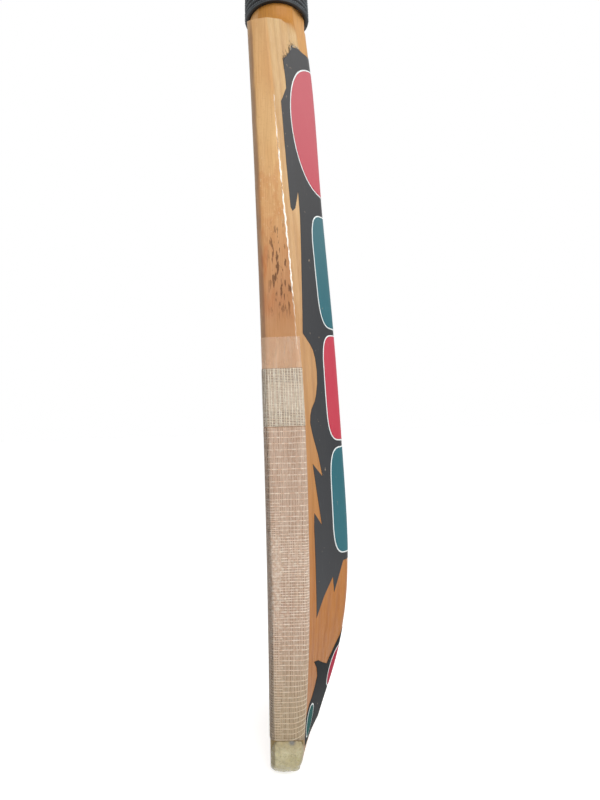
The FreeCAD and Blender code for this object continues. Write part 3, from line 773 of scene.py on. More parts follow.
@dataclass
class EdgeWrap:
    """The band of blade that runs from the face round one edge and on to the flank, as a table of places."""

    skin: BareSkin
    side: Side
    low: float
    high: float
    face_lap: float
    back_lap: float
    step: float = 2.0 * MM
    columns: int = 96
    rays: int = 150
    inside: float = 12.0 * MM
    under_face: float = 11.0 * MM
    sweep_degrees: tuple[float, float] = (80.0, -93.0)

    def __post_init__(self) -> None:
        """Sweep rays round the edge at each height and space their hits evenly along the surface."""
        rows = round((self.high - self.low) / self.step) + 1
        self.heights = np.linspace(self.low, self.high, rows)
        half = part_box("blade")[1].x
        self.places = np.zeros((rows, self.columns, 3))
        self.normals = np.zeros((rows, self.columns, 3))
        self.widths = np.zeros(rows)
        for row, z in enumerate(self.heights):
            self.sweep(row, float(z), half)

    def sweep(self, row: int, z: float, half: float) -> None:
        """Fill one row of the table.

        Args:
            row: which row.
            z: its height.
            half: the blade's half width.
        """
        sign = self.side.value
        inner = sign * (half - self.inside)
        face = self.skin.hit((inner, -OUTSIDE, z), (0, 1, 0))[0].y
        centre = Vector((inner, face + self.under_face, z))
        angles = np.radians(np.linspace(*self.sweep_degrees, self.rays))
        hits = [self.skin.hit(centre, (sign * math.cos(a), math.sin(a), 0)) for a in angles]
        places = np.array([h[0] for h in hits])
        normals = np.array([h[1] for h in hits])
        length = np.concatenate([[0], np.cumsum(np.linalg.norm(np.diff(places, axis=0), axis=1))])
        out = sign * places[:, 0]
        widest = int(np.argmax(out))
        start = np.interp(half - self.back_lap, out[: widest + 1], length[: widest + 1])
        end = np.interp(-(half - self.face_lap), -out[widest:], length[widest:])
        self.widths[row] = end - start
        even = np.linspace(start, end, self.columns)
        for axis in range(3):
            self.places[row, :, axis] = np.interp(even, length, places[:, axis])
            self.normals[row, :, axis] = np.interp(even, length, normals[:, axis])
        self.normals[row] /= np.linalg.norm(self.normals[row], axis=1)[:, None]

    def at(self, share: np.ndarray, z: np.ndarray, lift: np.ndarray | float) -> tuple[np.ndarray, np.ndarray]:
        """Places on the band.

        Args:
            share: 0 at the flank's lap to 1 at the face's lap.
            z: heights.
            lift: distance off the blade.

        Returns:
            The places and the outward normals.
        """
        row = np.clip((z - self.low) / (self.high - self.low), 0, 1) * (len(self.heights) - 1)
        column = np.clip(share, 0, 1) * (self.columns - 1)
        normals = read_table(self.normals, row, column)
        normals /= np.linalg.norm(normals, axis=1)[:, None]
        places = read_table(self.places, row, column)
        places[:, 2] = z
        return places + normals * np.reshape(lift, (-1, 1)), normals

    def back_corner(self, z: np.ndarray, degrees: float) -> np.ndarray:
        """Find the back corner, where the surface has turned by an angle from the edge.

        Args:
            z: heights.
            degrees: the angle.

        Returns:
            The share across the band at each height.
        """
        turned = np.degrees(np.arctan2(self.normals[:, :, 1], self.side.value * self.normals[:, :, 0]))
        columns = np.array([int(np.argmax(row < degrees)) for row in turned])
        reach = 4
        window = np.ones(2 * reach + 1) / (2 * reach + 1)
        smooth = np.convolve(np.pad(columns, reach, mode="edge"), window, mode="valid")
        return np.interp(z, self.heights, smooth / (self.columns - 1))


@dataclass
class WovenTape:
    """One piece of fibre tape: its varnished cloth, and the warp and weft bundles that stand out of it."""

    node: str
    wrap: EdgeWrap
    weft_pitches: Sequence[tuple[float, float]]
    warp_pitch: float
    warp_pair: bool
    cloth: bpy.types.Material
    roving: bpy.types.Material
    warp: bpy.types.Material
    weft_width: float = 0.75 * MM
    weft_height: float = 0.20 * MM
    warp_width: float = 0.36 * MM
    warp_height: float = 0.13 * MM
    cloth_low: float = 0.27 * MM
    cloth_high: float = 0.33 * MM
    warp_drift: float = 0.18 * MM
    weft_ripple: float = 0.10 * MM
    weft_bob: float = 0.02 * MM
    weft_ends: tuple[float, float] = (0.015, 0.985)
    toe_slant: float = 0.0
    slant_reach: float = 45.0 * MM
    doubled_from: float = 0.52
    doubled_below: float = 192.0 * MM
    seed: int = 3

    def build(self) -> bpy.types.Object:
        """Weave the tape over its node's height and let it stand for the node.

        Returns:
            The tape.
        """
        low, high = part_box(self.node)
        self.low, self.high = low.z, high.z
        self.random = np.random.default_rng(self.seed)
        self.bundle = MeshBundle()
        self.lay_cloth()
        self.lay_warp()
        self.lay_weft()
        tape = self.bundle.build(f"{self.node}_weave", [self.cloth, self.roving, self.warp])
        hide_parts(self.node)
        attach(tape, BODY)
        return tape

    def lay_cloth(self) -> None:
        """Lay the cloth as a closed thin sheet."""
        rows = max(2, round((self.high - self.low) / (2.0 * MM)))
        columns = 49
        levels = np.linspace(self.low, self.high, rows)
        z, share = np.meshgrid(levels, np.linspace(0, 1, columns), indexing="ij")
        outer, _ = self.wrap.at(share.ravel(), z.ravel(), self.cloth_high)
        inner, _ = self.wrap.at(share.ravel(), z.ravel(), self.cloth_low)
        count = rows * columns
        top = grid_faces(rows, columns)
        bottom = grid_faces(rows, columns, first=count)[:, ::-1]
        first_row, last_row = np.arange(columns), np.arange(columns) + (rows - 1) * columns
        first_column, last_column = np.arange(rows) * columns, np.arange(rows) * columns + columns - 1
        rim = np.concatenate([first_row, last_column[1:], last_row[::-1][1:], first_column[::-1][1:-1]])
        after = np.roll(rim, -1)
        skirt = np.stack([rim, rim + count, after + count, after], -1)
        faces = np.concatenate([top, bottom, skirt])
        if self.wrap.side is Side.NEAR:
            faces = faces[:, ::-1]
        self.bundle.take(np.concatenate([outer, inner]), faces.tolist(), 0)

    def lay_warp(self) -> None:
        """Lay the bundles that run up the edge."""
        width = float(self.wrap.widths.mean())
        count = int(width / self.warp_pitch)
        steps = max(8, round((self.high - self.low) / (2.5 * MM)))
        margin = 0.3 * MM
        lift = self.cloth_high + self.warp_height * 0.3
        z = np.linspace(self.low + margin, self.high - margin, steps)
        for number in range(count):
            share = (number + 0.5) / count + self.random.normal(0, 0.12) / count
            pair = (-0.3, 0.3) if self.warp_pair else (0.0,)
            for offset in pair:
                drift = self.warp_drift * np.sin(z / (31 * MM) + self.random.uniform(0, 6)) / width
                path, out = self.wrap.at(share + offset / count + drift, z, lift)
                self.bundle.strand(path, out, self.warp_width, self.warp_height, 4, 2)

    def weft_heights(self) -> list[float]:
        """Heights of the weft bundles, with the pitch changing along the tape.

        Returns:
            Heights from the lowest up.
        """
        heights, z = [], self.low + 0.6 * MM
        shares = [s for s, _ in self.weft_pitches]
        pitches = [p for _, p in self.weft_pitches]
        while z < self.high - 0.4 * MM:
            heights.append(z)
            share = (z - self.low) / (self.high - self.low)
            z += float(np.interp(share, shares, pitches)) * (1 + self.random.normal(0, 0.06))
        return heights

    def lay_weft(self) -> None:
        """Lay the bundles that run round the edge: whole ones, and short ones where the cloth is double."""
        heights = self.weft_heights()
        first, last = self.weft_ends
        for number, z in enumerate(heights):
            self.weft_strand(z, first, last, 1.0)
            if number + 1 < len(heights) and z < self.doubled_below:
                between = (z + heights[number + 1]) / 2
                start = self.doubled_from + self.random.normal(0, 0.03)
                self.weft_strand(between, start, last, 0.7)

    def weft_strand(self, z: float, start: float, end: float, weight: float) -> None:
        """Lay one bundle round the edge.

        Args:
            z: its height.
            start: where it starts, towards the flank.
            end: where it ends, towards the face.
            weight: how thick it is beside a whole one.
        """
        share = np.linspace(start, end, 54)
        near_toe = np.clip(1 - (z - self.low) / self.slant_reach, 0, 1)
        slant = self.toe_slant * near_toe * np.clip(1 - share / 0.3, 0, 1) ** 1.5
        ripple = self.weft_ripple * np.sin(share * 9 + self.random.uniform(0, 6))
        level = np.clip(z + slant + ripple, self.low, self.high)
        bob = self.weft_bob * np.sin(share * 150 + self.random.uniform(0, 3))
        lift = self.cloth_high + self.weft_height * weight * 0.42 + bob
        path, out = self.wrap.at(share, level, lift)
        swell = 1 + self.random.normal(0, 0.12)
        self.bundle.strand(path, out, self.weft_width * weight * swell, self.weft_height * weight, 6, 1)


@dataclass
class Panel:
    """One printed colour on a label, with an optional pale border printed under it."""

    name: str
    outline: Sequence[tuple[float, float]]
    ink: bpy.types.Material
    lift: float
    border: float = 0.0
    pair: bool = False
    spacing: float = 2.2 * MM
    ridge: float = 3.2 * MM
    overlap: float = 0.45 * MM
    sunk: float = 0.02 * MM

    def curve(self) -> np.ndarray:
        """The outline as a smooth closed line.

        Returns:
            Points across (x) and up (z), in metres, anticlockwise.
        """
        points = [np.array(p) * MM for p in self.outline]
        if not self.pair:
            points += [np.array((-p[0], p[1])) for p in reversed(points) if p[0] > 0.05 * MM]
        closed = []
        count = len(points)
        for index in range(count):
            a, b, c, d = (points[(index + k) % count] for k in (-1, 0, 1, 2))
            steps = max(2, int(np.linalg.norm(c - b) / (1.1 * MM)))
            for t in np.arange(steps) / steps:
                bend = (2 * a - 5 * b + 4 * c - d) * t**2 + (3 * b - a - 3 * c + d) * t**3
                closed.append(0.5 * (2 * b + (c - a) * t + bend))
        line = np.array(closed)
        after = np.roll(line, -1, axis=0)
        area = float(np.sum(line[:, 0] * after[:, 1] - after[:, 0] * line[:, 1]))
        return line if area > 0 else line[::-1]

    def grown(self, line: np.ndarray, width: float) -> np.ndarray:
        """Move a closed line outward by a width, or inward by a negative one."""
        along = np.roll(line, -1, axis=0) - np.roll(line, 1, axis=0)
        along /= np.linalg.norm(along, axis=1)[:, None]
        return line + np.stack([along[:, 1], -along[:, 0]], -1) * width

    def seeds(self, line: np.ndarray) -> list[tuple[float, float]]:
        """Points inside an outline, in even rows that are closer together along the label's ridge."""
        low, high = line.min(0), line.max(0)
        xs, zs = (np.arange(low[k] + self.spacing / 2, high[k], self.spacing) for k in range(2))
        if not self.pair:
            on_ridge = np.array([-2.4, -1.4, -0.7, 0.0, 0.7, 1.4, 2.4]) * MM
            xs = np.concatenate([xs[np.abs(xs) > self.ridge], on_ridge])
        return [(x, z) for x in xs for z in zs if self.contains(line, x, z)]

    def lay(
        self, skin: BareSkin, line: np.ndarray, lift: float, name: str, ink: bpy.types.Material,
        hole: np.ndarray | None = None,
    ) -> None:
        """Lay a filled outline on the label as a closed thin film.

        Args:
            skin: the label's surface.
            line: its outline.
            lift: its height off the label, in metres.
            name: the piece's name.
            ink: its finish.
            hole: the outline of what is left open inside it.
        """
        points = [*line, *(self.seeds(line) if hole is None else hole)]
        rim = [(i, (i + 1) % len(line)) for i in range(len(line))]
        if hole is not None:
            rim += [(len(line) + i, len(line) + (i + 1) % len(hole)) for i in range(len(hole))]
        inside_only, tolerance = 1, 1e-7
        flat, _, faces, *_ = delaunay_2d_cdt(
            [Vector(p) for p in points], rim, [list(range(len(line)))], inside_only, tolerance
        )
        if hole is not None:
            middles = [sum((flat[i] for i in face), Vector((0, 0))) / len(face) for face in faces]
            faces = [f for f, middle in zip(faces, middles) if not self.contains(hole, middle.x, middle.y)]
        places, count = [], len(flat)
        for depth in (lift, -self.sunk):
            for point in flat:
                spot, normal = skin.hit((point.x, OUTSIDE, point.y), (0, -1, 0)) or self.nearest(skin, point)
                places.append(spot + normal * depth)
        faces = [list(f) for f in faces]
        edges = dict.fromkeys((a, b) for face in faces for a, b in zip(face, face[1:] + face[:1]))
        skirt = [[b, a, a + count, b + count] for a, b in edges if (b, a) not in edges]
        under = [[i + count for i in reversed(face)] for face in faces]
        faces = [f[::-1] for f in faces + under + skirt]
        piece = mesh_object(name, np.array(places), faces, [ink])
        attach(piece, BODY)
        log.info("printed %s with %d points", name, len(places))

    @staticmethod
    def nearest(skin: BareSkin, point: Vector) -> tuple[Vector, Vector]:
        """Where a line just misses the label, take the label's nearest place."""
        spot, normal, _, _ = skin.tree.find_nearest(Vector((point.x, 0.0, point.y)))
        return spot, normal

    @staticmethod
    def contains(line: np.ndarray, x: float, z: float) -> bool:
        """Whether a point lies inside a closed line."""
        after = np.roll(line, -1, axis=0)
        crosses = (line[:, 1] > z) != (after[:, 1] > z)
        rise = np.where(crosses, after[:, 1] - line[:, 1], 1.0)
        at = line[:, 0] + (z - line[:, 1]) / rise * (after[:, 0] - line[:, 0])
        return bool(np.count_nonzero(crosses & (x < at)) % 2)

    def build(self, skin: BareSkin, border_ink: bpy.types.Material) -> None:
        """Print the border, then the colour on it."""
        line = self.curve()
        sides = {"": line}
        if self.pair:
            sides = {"_near": line, "_far": (line * (-1, 1))[::-1]}
        for suffix, outline in sides.items():
            if self.border:
                outer, inner = self.grown(outline, self.border), self.grown(outline, -self.overlap)
                self.lay(skin, outer, self.lift * 0.6, f"{self.name}_border{suffix}", border_ink, inner)
            self.lay(skin, outline, self.lift, f"{self.name}{suffix}", self.ink)


@dataclass
class Labels:
    """The two labels on the back: vinyl with plain coloured panels, and a torn upper end on the big one."""

    lift: float = 0.13 * MM
    border: float = 1.0 * MM
    inks: dict[str, bpy.types.Material] = field(default_factory=dict)
    torn_top: float = 537.0 * MM
    torn_edge: Sequence[tuple[float, float]] = (
        (20.6, 536.6), (23.7, 534.1), (27.0, 527.9), (34.5, 518.9), (37.0, 515.6), (36.9, 508.5),
    )

    def dress(self) -> None:
        """Give the bases their vinyl and print the panels."""
        toe = {"roughness": 0.6, "sheen": 0.05}
        inks = [
            PrintedVinyl("black_vinyl", 0.42),
            PrintedVinyl("white_print", 0.5, tone="#EDF3F2", rubbed="#C9C9C2", wear=0.4),
            PrintedVinyl("red_print", 0.45, tone="#BE3549", rubbed="#D98A8E", wear=0.3, upper_sheen=0.16),
            PrintedVinyl("teal_print", 0.45, tone="#1F616C", rubbed="#6F9A9E", wear=0.3, upper_sheen=0.14),
            PrintedVinyl("toe_black_print", **toe, tone="#1D2022", wear=0.6),
            PrintedVinyl("toe_teal_print", **toe, tone="#14524F", rubbed="#5E8A86", wear=0.3),
            PrintedVinyl("toe_red_print", 0.6, tone="#A92742", rubbed="#D98A8E", wear=0.4, sheen=0.08),
        ]
        self.inks = {ink.name: ink.make() for ink in inks}
        for node, ink in (("back_label", "black_vinyl"), ("toe_label", "toe_black_print")):
            coat(frame["nodes"][node].data, self.inks[ink])
        for node, panels in self.prints().items():
            skin = BareSkin(node)
            for name, ink, outline in panels:
                off_middle = outline[0][0] > 1.0
                panel = Panel(name, outline, self.inks[ink], self.lift, self.border, pair=off_middle)
                panel.build(skin, self.inks["white_print"])
        self.tear()

    def tear(self) -> None:
        """Leave torn fibres and flakes of print along the big label's upper end."""
        wood = BareSkin("blade")
        random = np.random.default_rng(21)
        xs, zs = (np.array(v) * MM for v in zip(*self.torn_edge))
        along = np.linspace(0, 1, len(xs))
        off_wood, thickness = 0.22 * MM, 0.12 * MM
        bundle = MeshBundle()
        # Each row: which finish, fibres on a side, where they start and end along the tear (below 0 on the
        # flat top, to the middle at -1.7), and the longest of them in millimetres.
        rows = ((0, 62, 0.0, 1.0, 4.8), (0, 46, -1.3, 0.0, 1.6), (1, 60, -1.6, 0.5, 2.4))
        for kind, count, first, last, longest in rows:
            for _ in range(count * 2):
                side = 1 if random.random() < 0.5 else -1
                share = random.uniform(first, last)
                x = float(np.interp(share, along, xs)) if share > 0 else xs[0] * (1 + share / 1.7)
                z = float(np.interp(share, along, zs)) if share > 0 else self.torn_top
                long = random.uniform(0.25, 1.0) ** 1.5 * longest * MM
                lean = random.normal(0.15, 0.45)
                steps = np.linspace(-0.3 * MM, long, 6)
                path, out = [], []
                for step in steps:
                    wave = 0.12 * MM * math.sin(step / (0.7 * MM) + share * 40)
                    spot = (side * (x + step * math.sin(lean) + wave), OUTSIDE, z + step * math.cos(lean))
                    hit = wood.hit(spot, (0, -1, 0))
                    if hit is None:
                        break
                    path.append(hit[0] + hit[1] * off_wood)
                    out.append(hit[1])
                if len(path) == len(steps):
                    width = np.linspace(1.0, 0.25, len(steps)) * random.uniform(0.2, 0.55) * MM
                    bundle.strand(np.array(path), np.array(out), width, thickness, 4, kind)
        paper = PrintedVinyl("torn_paper", 0.8, tone="#D9D3C4", rubbed="#A99B85", wear=0.6).make()
        fibres = bundle.build("torn_label_edge", [self.inks["black_vinyl"], paper])
        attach(fibres, BODY)

    @staticmethod
    def tablet(low: float, high: float, half_width: float = 19.0) -> list[tuple[float, float]]:
        """The right half of a plain tablet with round corners, from the top, in millimetres."""
        middle, half = (low + high) / 2, (high - low) / 2
        turn = np.linspace(math.pi / 2, -math.pi / 2, 17)
        return [
            (half_width * abs(math.cos(a)) ** 0.5, middle + half * math.copysign(abs(math.sin(a)) ** 0.5, a))
            for a in turn
        ]

    def prints(self) -> dict[str, list[tuple[str, str, list[tuple[float, float]]]]]:
        """The panels of each label: name, ink, and an outline in millimetres.

        Returns:
            For each label its panels. An outline that starts on the middle line is a right half, from the top,
            and any other is a whole one that is printed on both sides.
        """
        turn = np.linspace(math.pi / 2, -math.pi / 2, 17)
        oval = [(33.0 * math.cos(a), 475.0 + 50.0 * math.sin(a)) for a in turn]
        toe_middle = [(11.0 * math.cos(a), 57.0 + 16.0 * math.sin(a)) for a in turn]
        round_turn = np.arange(16) / 16 * math.tau
        toe_side = [(38.5 + 7.5 * math.cos(a), 33.0 + 10.5 * math.sin(a)) for a in round_turn]
        return {
            "back_label": [
                ("red_oval", "red_print", oval),
                ("upper_tablet", "teal_print", self.tablet(320.0, 408.0)),
                ("middle_tablet", "red_print", self.tablet(233.0, 314.0)),
                ("lower_tablet", "teal_print", self.tablet(146.0, 227.0)),
            ],
            "toe_label": [
                ("toe_middle_oval", "toe_red_print", toe_middle),
                ("toe_side_oval", "toe_teal_print", toe_side),
            ],
        }


@dataclass
class Grip:
    """The rubber sleeve: ribs all the way up, each a row of small blocks, and a plain rolled lower rim."""

    node: str = "grip"
    rib_pitch: float = 3.7 * MM
    rib_depth: float = 2.2 * MM
    blocks: int = 84
    per_block: int = 4
    per_rib: int = 8
    rim_rise: float = 4.3 * MM
    arch: float = 1.3 * MM
    arch_fade: float = 60.0 * MM
    rib_sharpness: float = 1.6
    block_sharpness: float = 0.9
    worn_away: float = 0.25
    rolled_rim: float = 0.4
    seed: int = 5

    def build(self) -> bpy.types.Object:
        """Model the sleeve round the handle's axis and let it stand for its node.

        Returns:
            The sleeve.
        """
        low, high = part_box(self.node)
        skin = BareSkin(self.node)
        axis_y = (low.y + high.y) / 2
        foot = low.z + self.rim_rise
        columns = self.blocks * self.per_block
        ribs = int((high.z - foot) / self.rib_pitch)
        rows = ribs * self.per_rib
        turn = np.arange(columns) / columns * math.tau
        levels = np.linspace(foot, high.z, rows + 1)
        outer = np.array([self.radius(skin, axis_y, z, -1.0) for z in levels])
        inner = np.array([self.radius(skin, axis_y, z, 1.0) for z in levels])
        phase = np.arange(rows + 1) / self.per_rib
        ridge = np.abs(np.sin(phase * math.pi)) ** self.rib_sharpness
        offset = np.floor(phase) % 2 / 2
        block = np.abs(np.cos((turn[None, :] * self.blocks / 2) + offset[:, None] * math.pi))
        block = block**self.block_sharpness
        random = np.random.default_rng(self.seed)
        worn = 1 - self.worn_away * random.random((ribs + 1, self.blocks))
        worn = np.repeat(worn[np.floor(phase).astype(int)], self.per_block, axis=1)
        crest = ridge[:, None] * (0.4 + 0.6 * block * worn)
        plain = phase < self.rolled_rim
        crest[plain] = (0.30 + 0.35 * np.sin(phase[plain] / self.rolled_rim * math.pi))[:, None]
        radii = outer[:, None] - self.rib_depth * (1 - crest)
        fade = np.clip(1 - (levels - foot) / self.arch_fade, 0, 1) ** 2
        z = levels[:, None] + self.arch * fade[:, None] * np.sin(turn)[None, :] ** 2
        outside = np.stack([radii * np.sin(turn), axis_y + radii * np.cos(turn), z], -1)
        wall = np.repeat(inner[:, None], columns, 1)
        inside = np.stack([wall * np.sin(turn), axis_y + wall * np.cos(turn), z], -1)[:: self.per_rib]
        points = np.concatenate([outside.reshape(-1, 3), inside.reshape(-1, 3)])
        count, inside_rows = (rows + 1) * columns, len(inside)
        faces = [grid_faces(rows + 1, columns, closed=True)[:, ::-1]]
        faces.append(grid_faces(inside_rows, columns, closed=True, first=count))
        ends = np.arange(columns)
        after = (ends + 1) % columns
        faces.append(np.stack([ends, after, after + count, ends + count], -1))
        top, inside_top = rows * columns, count + (inside_rows - 1) * columns
        faces.append(np.stack([ends + top, ends + inside_top, after + inside_top, after + top], -1))
        finish = MouldedRubber("grip_rubber_ribbed", 0.6, ribbed=True).make()
        sleeve = mesh_object("ribbed_grip", points, np.concatenate(faces), [finish])
        height = sleeve.data.attributes.new("crest", "FLOAT", "POINT")
        height.data.foreach_set("value", np.concatenate([crest.ravel(), np.zeros(inside[:, :, 0].size)]))
        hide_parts(self.node)
        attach(sleeve, BODY)
        log.info("built %s with %d ribs", sleeve.name, ribs)
        return sleeve

    @staticmethod
    def radius(skin: BareSkin, axis_y: float, z: float, sign: float) -> float:
        """The sleeve's outer (-1) or inner (1) radius at one height, measured towards the face."""
        margin = 0.2 * MM
        level = min(max(z, skin.low + margin), skin.high - margin)
        start = (0.0, axis_y - OUTSIDE, level) if sign < 0 else (0.0, axis_y, level)
        return abs(skin.hit(start, (0, -sign, 0))[0].y - axis_y)


@dataclass
class Tapes:
    """The two fibre tapes on each edge, over the film."""

    face_lap: float = 11.0 * MM
    back_lap: float = 3.0 * MM

    def build(self) -> None:
        """Weave all four tapes."""
        skin = BareSkin("blade")
        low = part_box("lower_tape_near")[0].z
        upper_ends = [corner.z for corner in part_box("upper_tape_near")]
        lower = [
            VarnishedScrim("lower_tape_cloth", 0.38).make(),
            GlassRoving("lower_tape_roving", 0.34).make(),
            GlassRoving("lower_tape_warp", 0.36, tone="#DABAA0", bright="#EEDCC9").make(),
        ]
        upper = [
            VarnishedScrim(
                "upper_tape_cloth", 0.4, tone="#D2B59C", thread="#E2D0BB", gap="#B08F76", foot="#D2B59C",
                cover=0.72, open_ends=(upper_ends[0] / MM, upper_ends[1] / MM),
            ).make(),
            GlassRoving("upper_tape_roving", 0.34, tone="#D6C6B0", bright="#EBDFCB").make(),
            GlassRoving("upper_tape_warp", 0.3, tone="#E4D8C0", bright="#FFF9E8").make(),
        ]
        lower_pitches = [(0.0, 3.7), (0.30, 3.5), (0.40, 1.9), (0.62, 1.75), (0.74, 4.2), (1.0, 4.5)]
        lower_pitches = [(share, pitch * MM) for share, pitch in lower_pitches]
        upper_pitches = [(0.0, 1.1 * MM), (1.0, 1.1 * MM)]
        for side in Side:
            wrap = EdgeWrap(skin, side, low, upper_ends[1], self.face_lap, self.back_lap)
            suffix = side.name.lower()
            WovenTape(
                f"lower_tape_{suffix}", wrap, lower_pitches, 1.05 * MM, False, *lower,
                weft_width=0.62 * MM, toe_slant=6.0 * MM,
            ).build()
            WovenTape(
                f"upper_tape_{suffix}", wrap, upper_pitches, 3.4 * MM, True, *upper,
                weft_width=0.40 * MM, weft_height=0.12 * MM, warp_width=0.62 * MM, warp_height=0.2 * MM,
                doubled_below=0.0, seed=8,
            ).build()
            log.info("taped the %s edge", suffix)


@dataclass
class CornerHighlightBead:
    """The run of lacquer that set along the back corner of each edge, above the film, laid where the corner's
    highlight runs: its pale colour is a painted highlight.
    """

    low: float = 300.0 * MM
    high: float = 482.0 * MM
    width: float = 1.25 * MM
    height: float = 0.35 * MM
    turn_degrees: float = 33.0
    fade_in: float = 60.0 * MM
    fade_out: float = 50.0 * MM
    sway: float = 0.18 * MM

    def build(self) -> None:
        """Lay the bead on both edges as one piece."""
        skin = BareSkin("blade")
        random = np.random.default_rng(11)
        bundle = MeshBundle()
        z = np.arange(self.low, self.high, 0.5 * MM)
        for side in Side:
            wrap = EdgeWrap(skin, side, self.low, self.high, 30.0 * MM, 8.0 * MM)
            share = wrap.back_corner(z, self.turn_degrees)
            path, out = wrap.at(share, z, 0.03 * MM)
            waves = sum(
                np.sin(z / MM * rate + random.uniform(0, 6)) * size
                for rate, size in ((0.13, 0.16), (0.41, 0.14), (1.1, 0.12), (2.7, 0.10))
            )
            rising = np.clip((z - self.low) / self.fade_in, 0.25, 1)
            taper = rising * np.clip((self.high - z) / self.fade_out, 0.35, 1)
            wide = self.width * taper * np.clip(1 + waves, 0.5, 1.6)
            path[:, 1] += self.sway * np.sin(z / MM * 0.8 + random.uniform(0, 6))
            bundle.strand(path, out, wide, self.height, 8, 0)
        bead = bundle.build("corner_highlight_bead", [HighlightLacquer("lacquer_painted_highlight", 0.12).make()])
        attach(bead, BODY)


@dataclass
class ToeGuard:
    """The gum rubber strip round the toe: rounded off along both sides and lumpy with glue."""

    node: str = "toe_guard"
    voxel: float = 0.7 * MM
    rounds: int = 6
    side_round: float = 8.5 * MM
    depth_round: float = 3.4 * MM
    corner: float = 14.0 * MM
    fade: float = 9.0 * MM
    measured_to: float = 50.0 * MM
    measured_up: tuple[float, float] = (11.0 * MM, 27.0 * MM)
    swell: float = 0.22 * MM
    lump: float = 0.16 * MM
    blobs: float = 0.8 * MM

    def build(self) -> bpy.types.Object:
        """Soften the node's shape and let the result stand for it.

        Returns:
            The guard.
        """
        source = frame["nodes"][self.node]
        guard = bpy.data.objects.new("moulded_toe_guard", source.data.copy())
        bpy.context.scene.collection.objects.link(guard)
        remesh = guard.modifiers.new("even_mesh", "REMESH")
        remesh.mode, remesh.voxel_size, remesh.use_smooth_shade = "VOXEL", self.voxel, True
        soften = guard.modifiers.new("soft_corners", "SMOOTH")
        soften.factor, soften.iterations = 0.5, self.rounds
        bpy.context.view_layer.update()
        shaped = bpy.data.meshes.new_from_object(guard.evaluated_get(bpy.context.evaluated_depsgraph_get()))
        guard.modifiers.clear()
        guard.data = shaped
        points, normals = np.zeros((2, len(shaped.vertices), 3))
        shaped.vertices.foreach_get("co", points.ravel())
        shaped.vertices.foreach_get("normal", normals.ravel())
        points = self.rounded(points) + normals * self.relief(points)[:, None]
        shaped.vertices.foreach_set("co", points.ravel())
        shaped.update()
        coat(shaped, GlueSoakedGuard("glue_soaked_guard", 0.35).make())
        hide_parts(self.node)
        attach(guard, BODY)
        log.info("built %s with %d points", guard.name, len(shaped.vertices))
        return guard

    def sides(self, x: np.ndarray, z: np.ndarray) -> tuple[np.ndarray, np.ndarray]:
        """Where the toe's face and back are above its rounding, for each place across and up.

        Args:
            x: distances from the middle.
            z: heights.

        Returns:
            The face's and the back's Y.
        """
        skin = BareSkin("blade", self.node)
        across, up = np.linspace(0, self.measured_to, 26), np.linspace(*self.measured_up, 5)
        i = np.clip(x / across[-1], 0, 1) * (len(across) - 1)
        j = np.clip((z - up[0]) / (up[-1] - up[0]), 0, 1) * (len(up) - 1)
        walls = []
        for toward in (-1, 1):
            rows = [[skin.hit((u, toward * OUTSIDE, v), (0, -toward, 0))[0].y for v in up] for u in across]
            walls.append(read_table(np.array(rows), i, j))
        return walls[0], walls[1]

    def rounded(self, points: np.ndarray) -> np.ndarray:
        """Round the strip off towards the face and the back, along its bottom and its two lower corners.

        Args:
            points: the strip's points.

        Returns:
            The points, moved.
        """
        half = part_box(self.node)[1].x
        x, z = np.abs(points[:, 0]), points[:, 2]
        centre_x = np.clip(x, None, half - self.corner)
        centre_z = np.clip(z, self.corner, None)
        away = np.stack([x - centre_x, z - centre_z], -1)
        reach = np.linalg.norm(away, axis=1)
        out = away / np.maximum(reach, 1e-9)[:, None]
        depth = self.corner - reach
        share = np.clip((self.corner + 1 * MM - z) / self.fade, 0, 1)
        face, back = self.sides(x, z)
        moved = points.copy()
        for toward, wall in ((-1, face), (1, back)):
            gap = toward * (wall - points[:, 1])
            u = np.clip((self.side_round - gap) / self.side_round, 0, None)
            v = np.clip((self.depth_round - depth) / self.depth_round, 0, None)
            size = np.hypot(u, v)
            shrink = np.where((u > 0) & (v > 0) & (size > 1), 1 - 1 / np.maximum(size, 1), 0.0) * share
            moved[:, 1] -= toward * self.side_round * u * shrink
            inward = self.depth_round * v * shrink
            moved[:, 0] -= np.sign(points[:, 0]) * out[:, 0] * inward
            moved[:, 2] -= out[:, 1] * inward
        return moved

    def relief(self, points: np.ndarray) -> np.ndarray:
        """How far the glue stands out at each place.

        Args:
            points: places on the strip.

        Returns:
            Distances, in metres.
        """
        x, y, z = (points / MM).T
        lumps = np.sin(x * 0.9 + z * 0.5) * np.sin(z * 0.8 + y * 0.7) + np.sin(y * 1.7 + x * 0.35) / 2
        seam = np.exp(-(((y + 10.0) / 2.4) ** 2) - ((z - 17.0) / 6.5) ** 2) * (np.abs(x) > 44)
        beads = np.clip(np.sin(z * 2.1 + x) * np.sin(y * 2.4 + 1.0), 0, 1)
        return (self.swell + self.lump * lumps + self.blobs * seam * beads) * np.clip(z / 2.5, 0, 1)


@dataclass
class BlankAndHandle:
    """The wood, cane, springs, twine and film, which keep the frame's own meshes."""

    def dress(self) -> None:
        """Give each node its finish."""
        willow = OiledWillow("oiled_willow", 0.44).make()
        cane = SplitCane("split_cane", 0.5).make()
        spring = MouldedRubber("spring_rubber_sheet", 0.7, tone="#1E1F20", worn="#3A3A39").make()
        twine = WaxedTwine("waxed_twine", 0.55).make()
        film = ClearFilm("clear_scuffed_film", 0.24).make()
        finishes = {
            "blade": willow, "front_spring": spring, "back_spring": spring, "handle_binding": twine,
            "face_film": film,
        }
        for name, node in frame["nodes"].items():
            finish = finishes.get(name, cane if name.startswith("cane_") else None)
            if finish is not None:
                coat(node.data, finish)
                log.info("dressed %s", name)


# ------------------------------------------------------------------------------------------------------------
# Camera and light


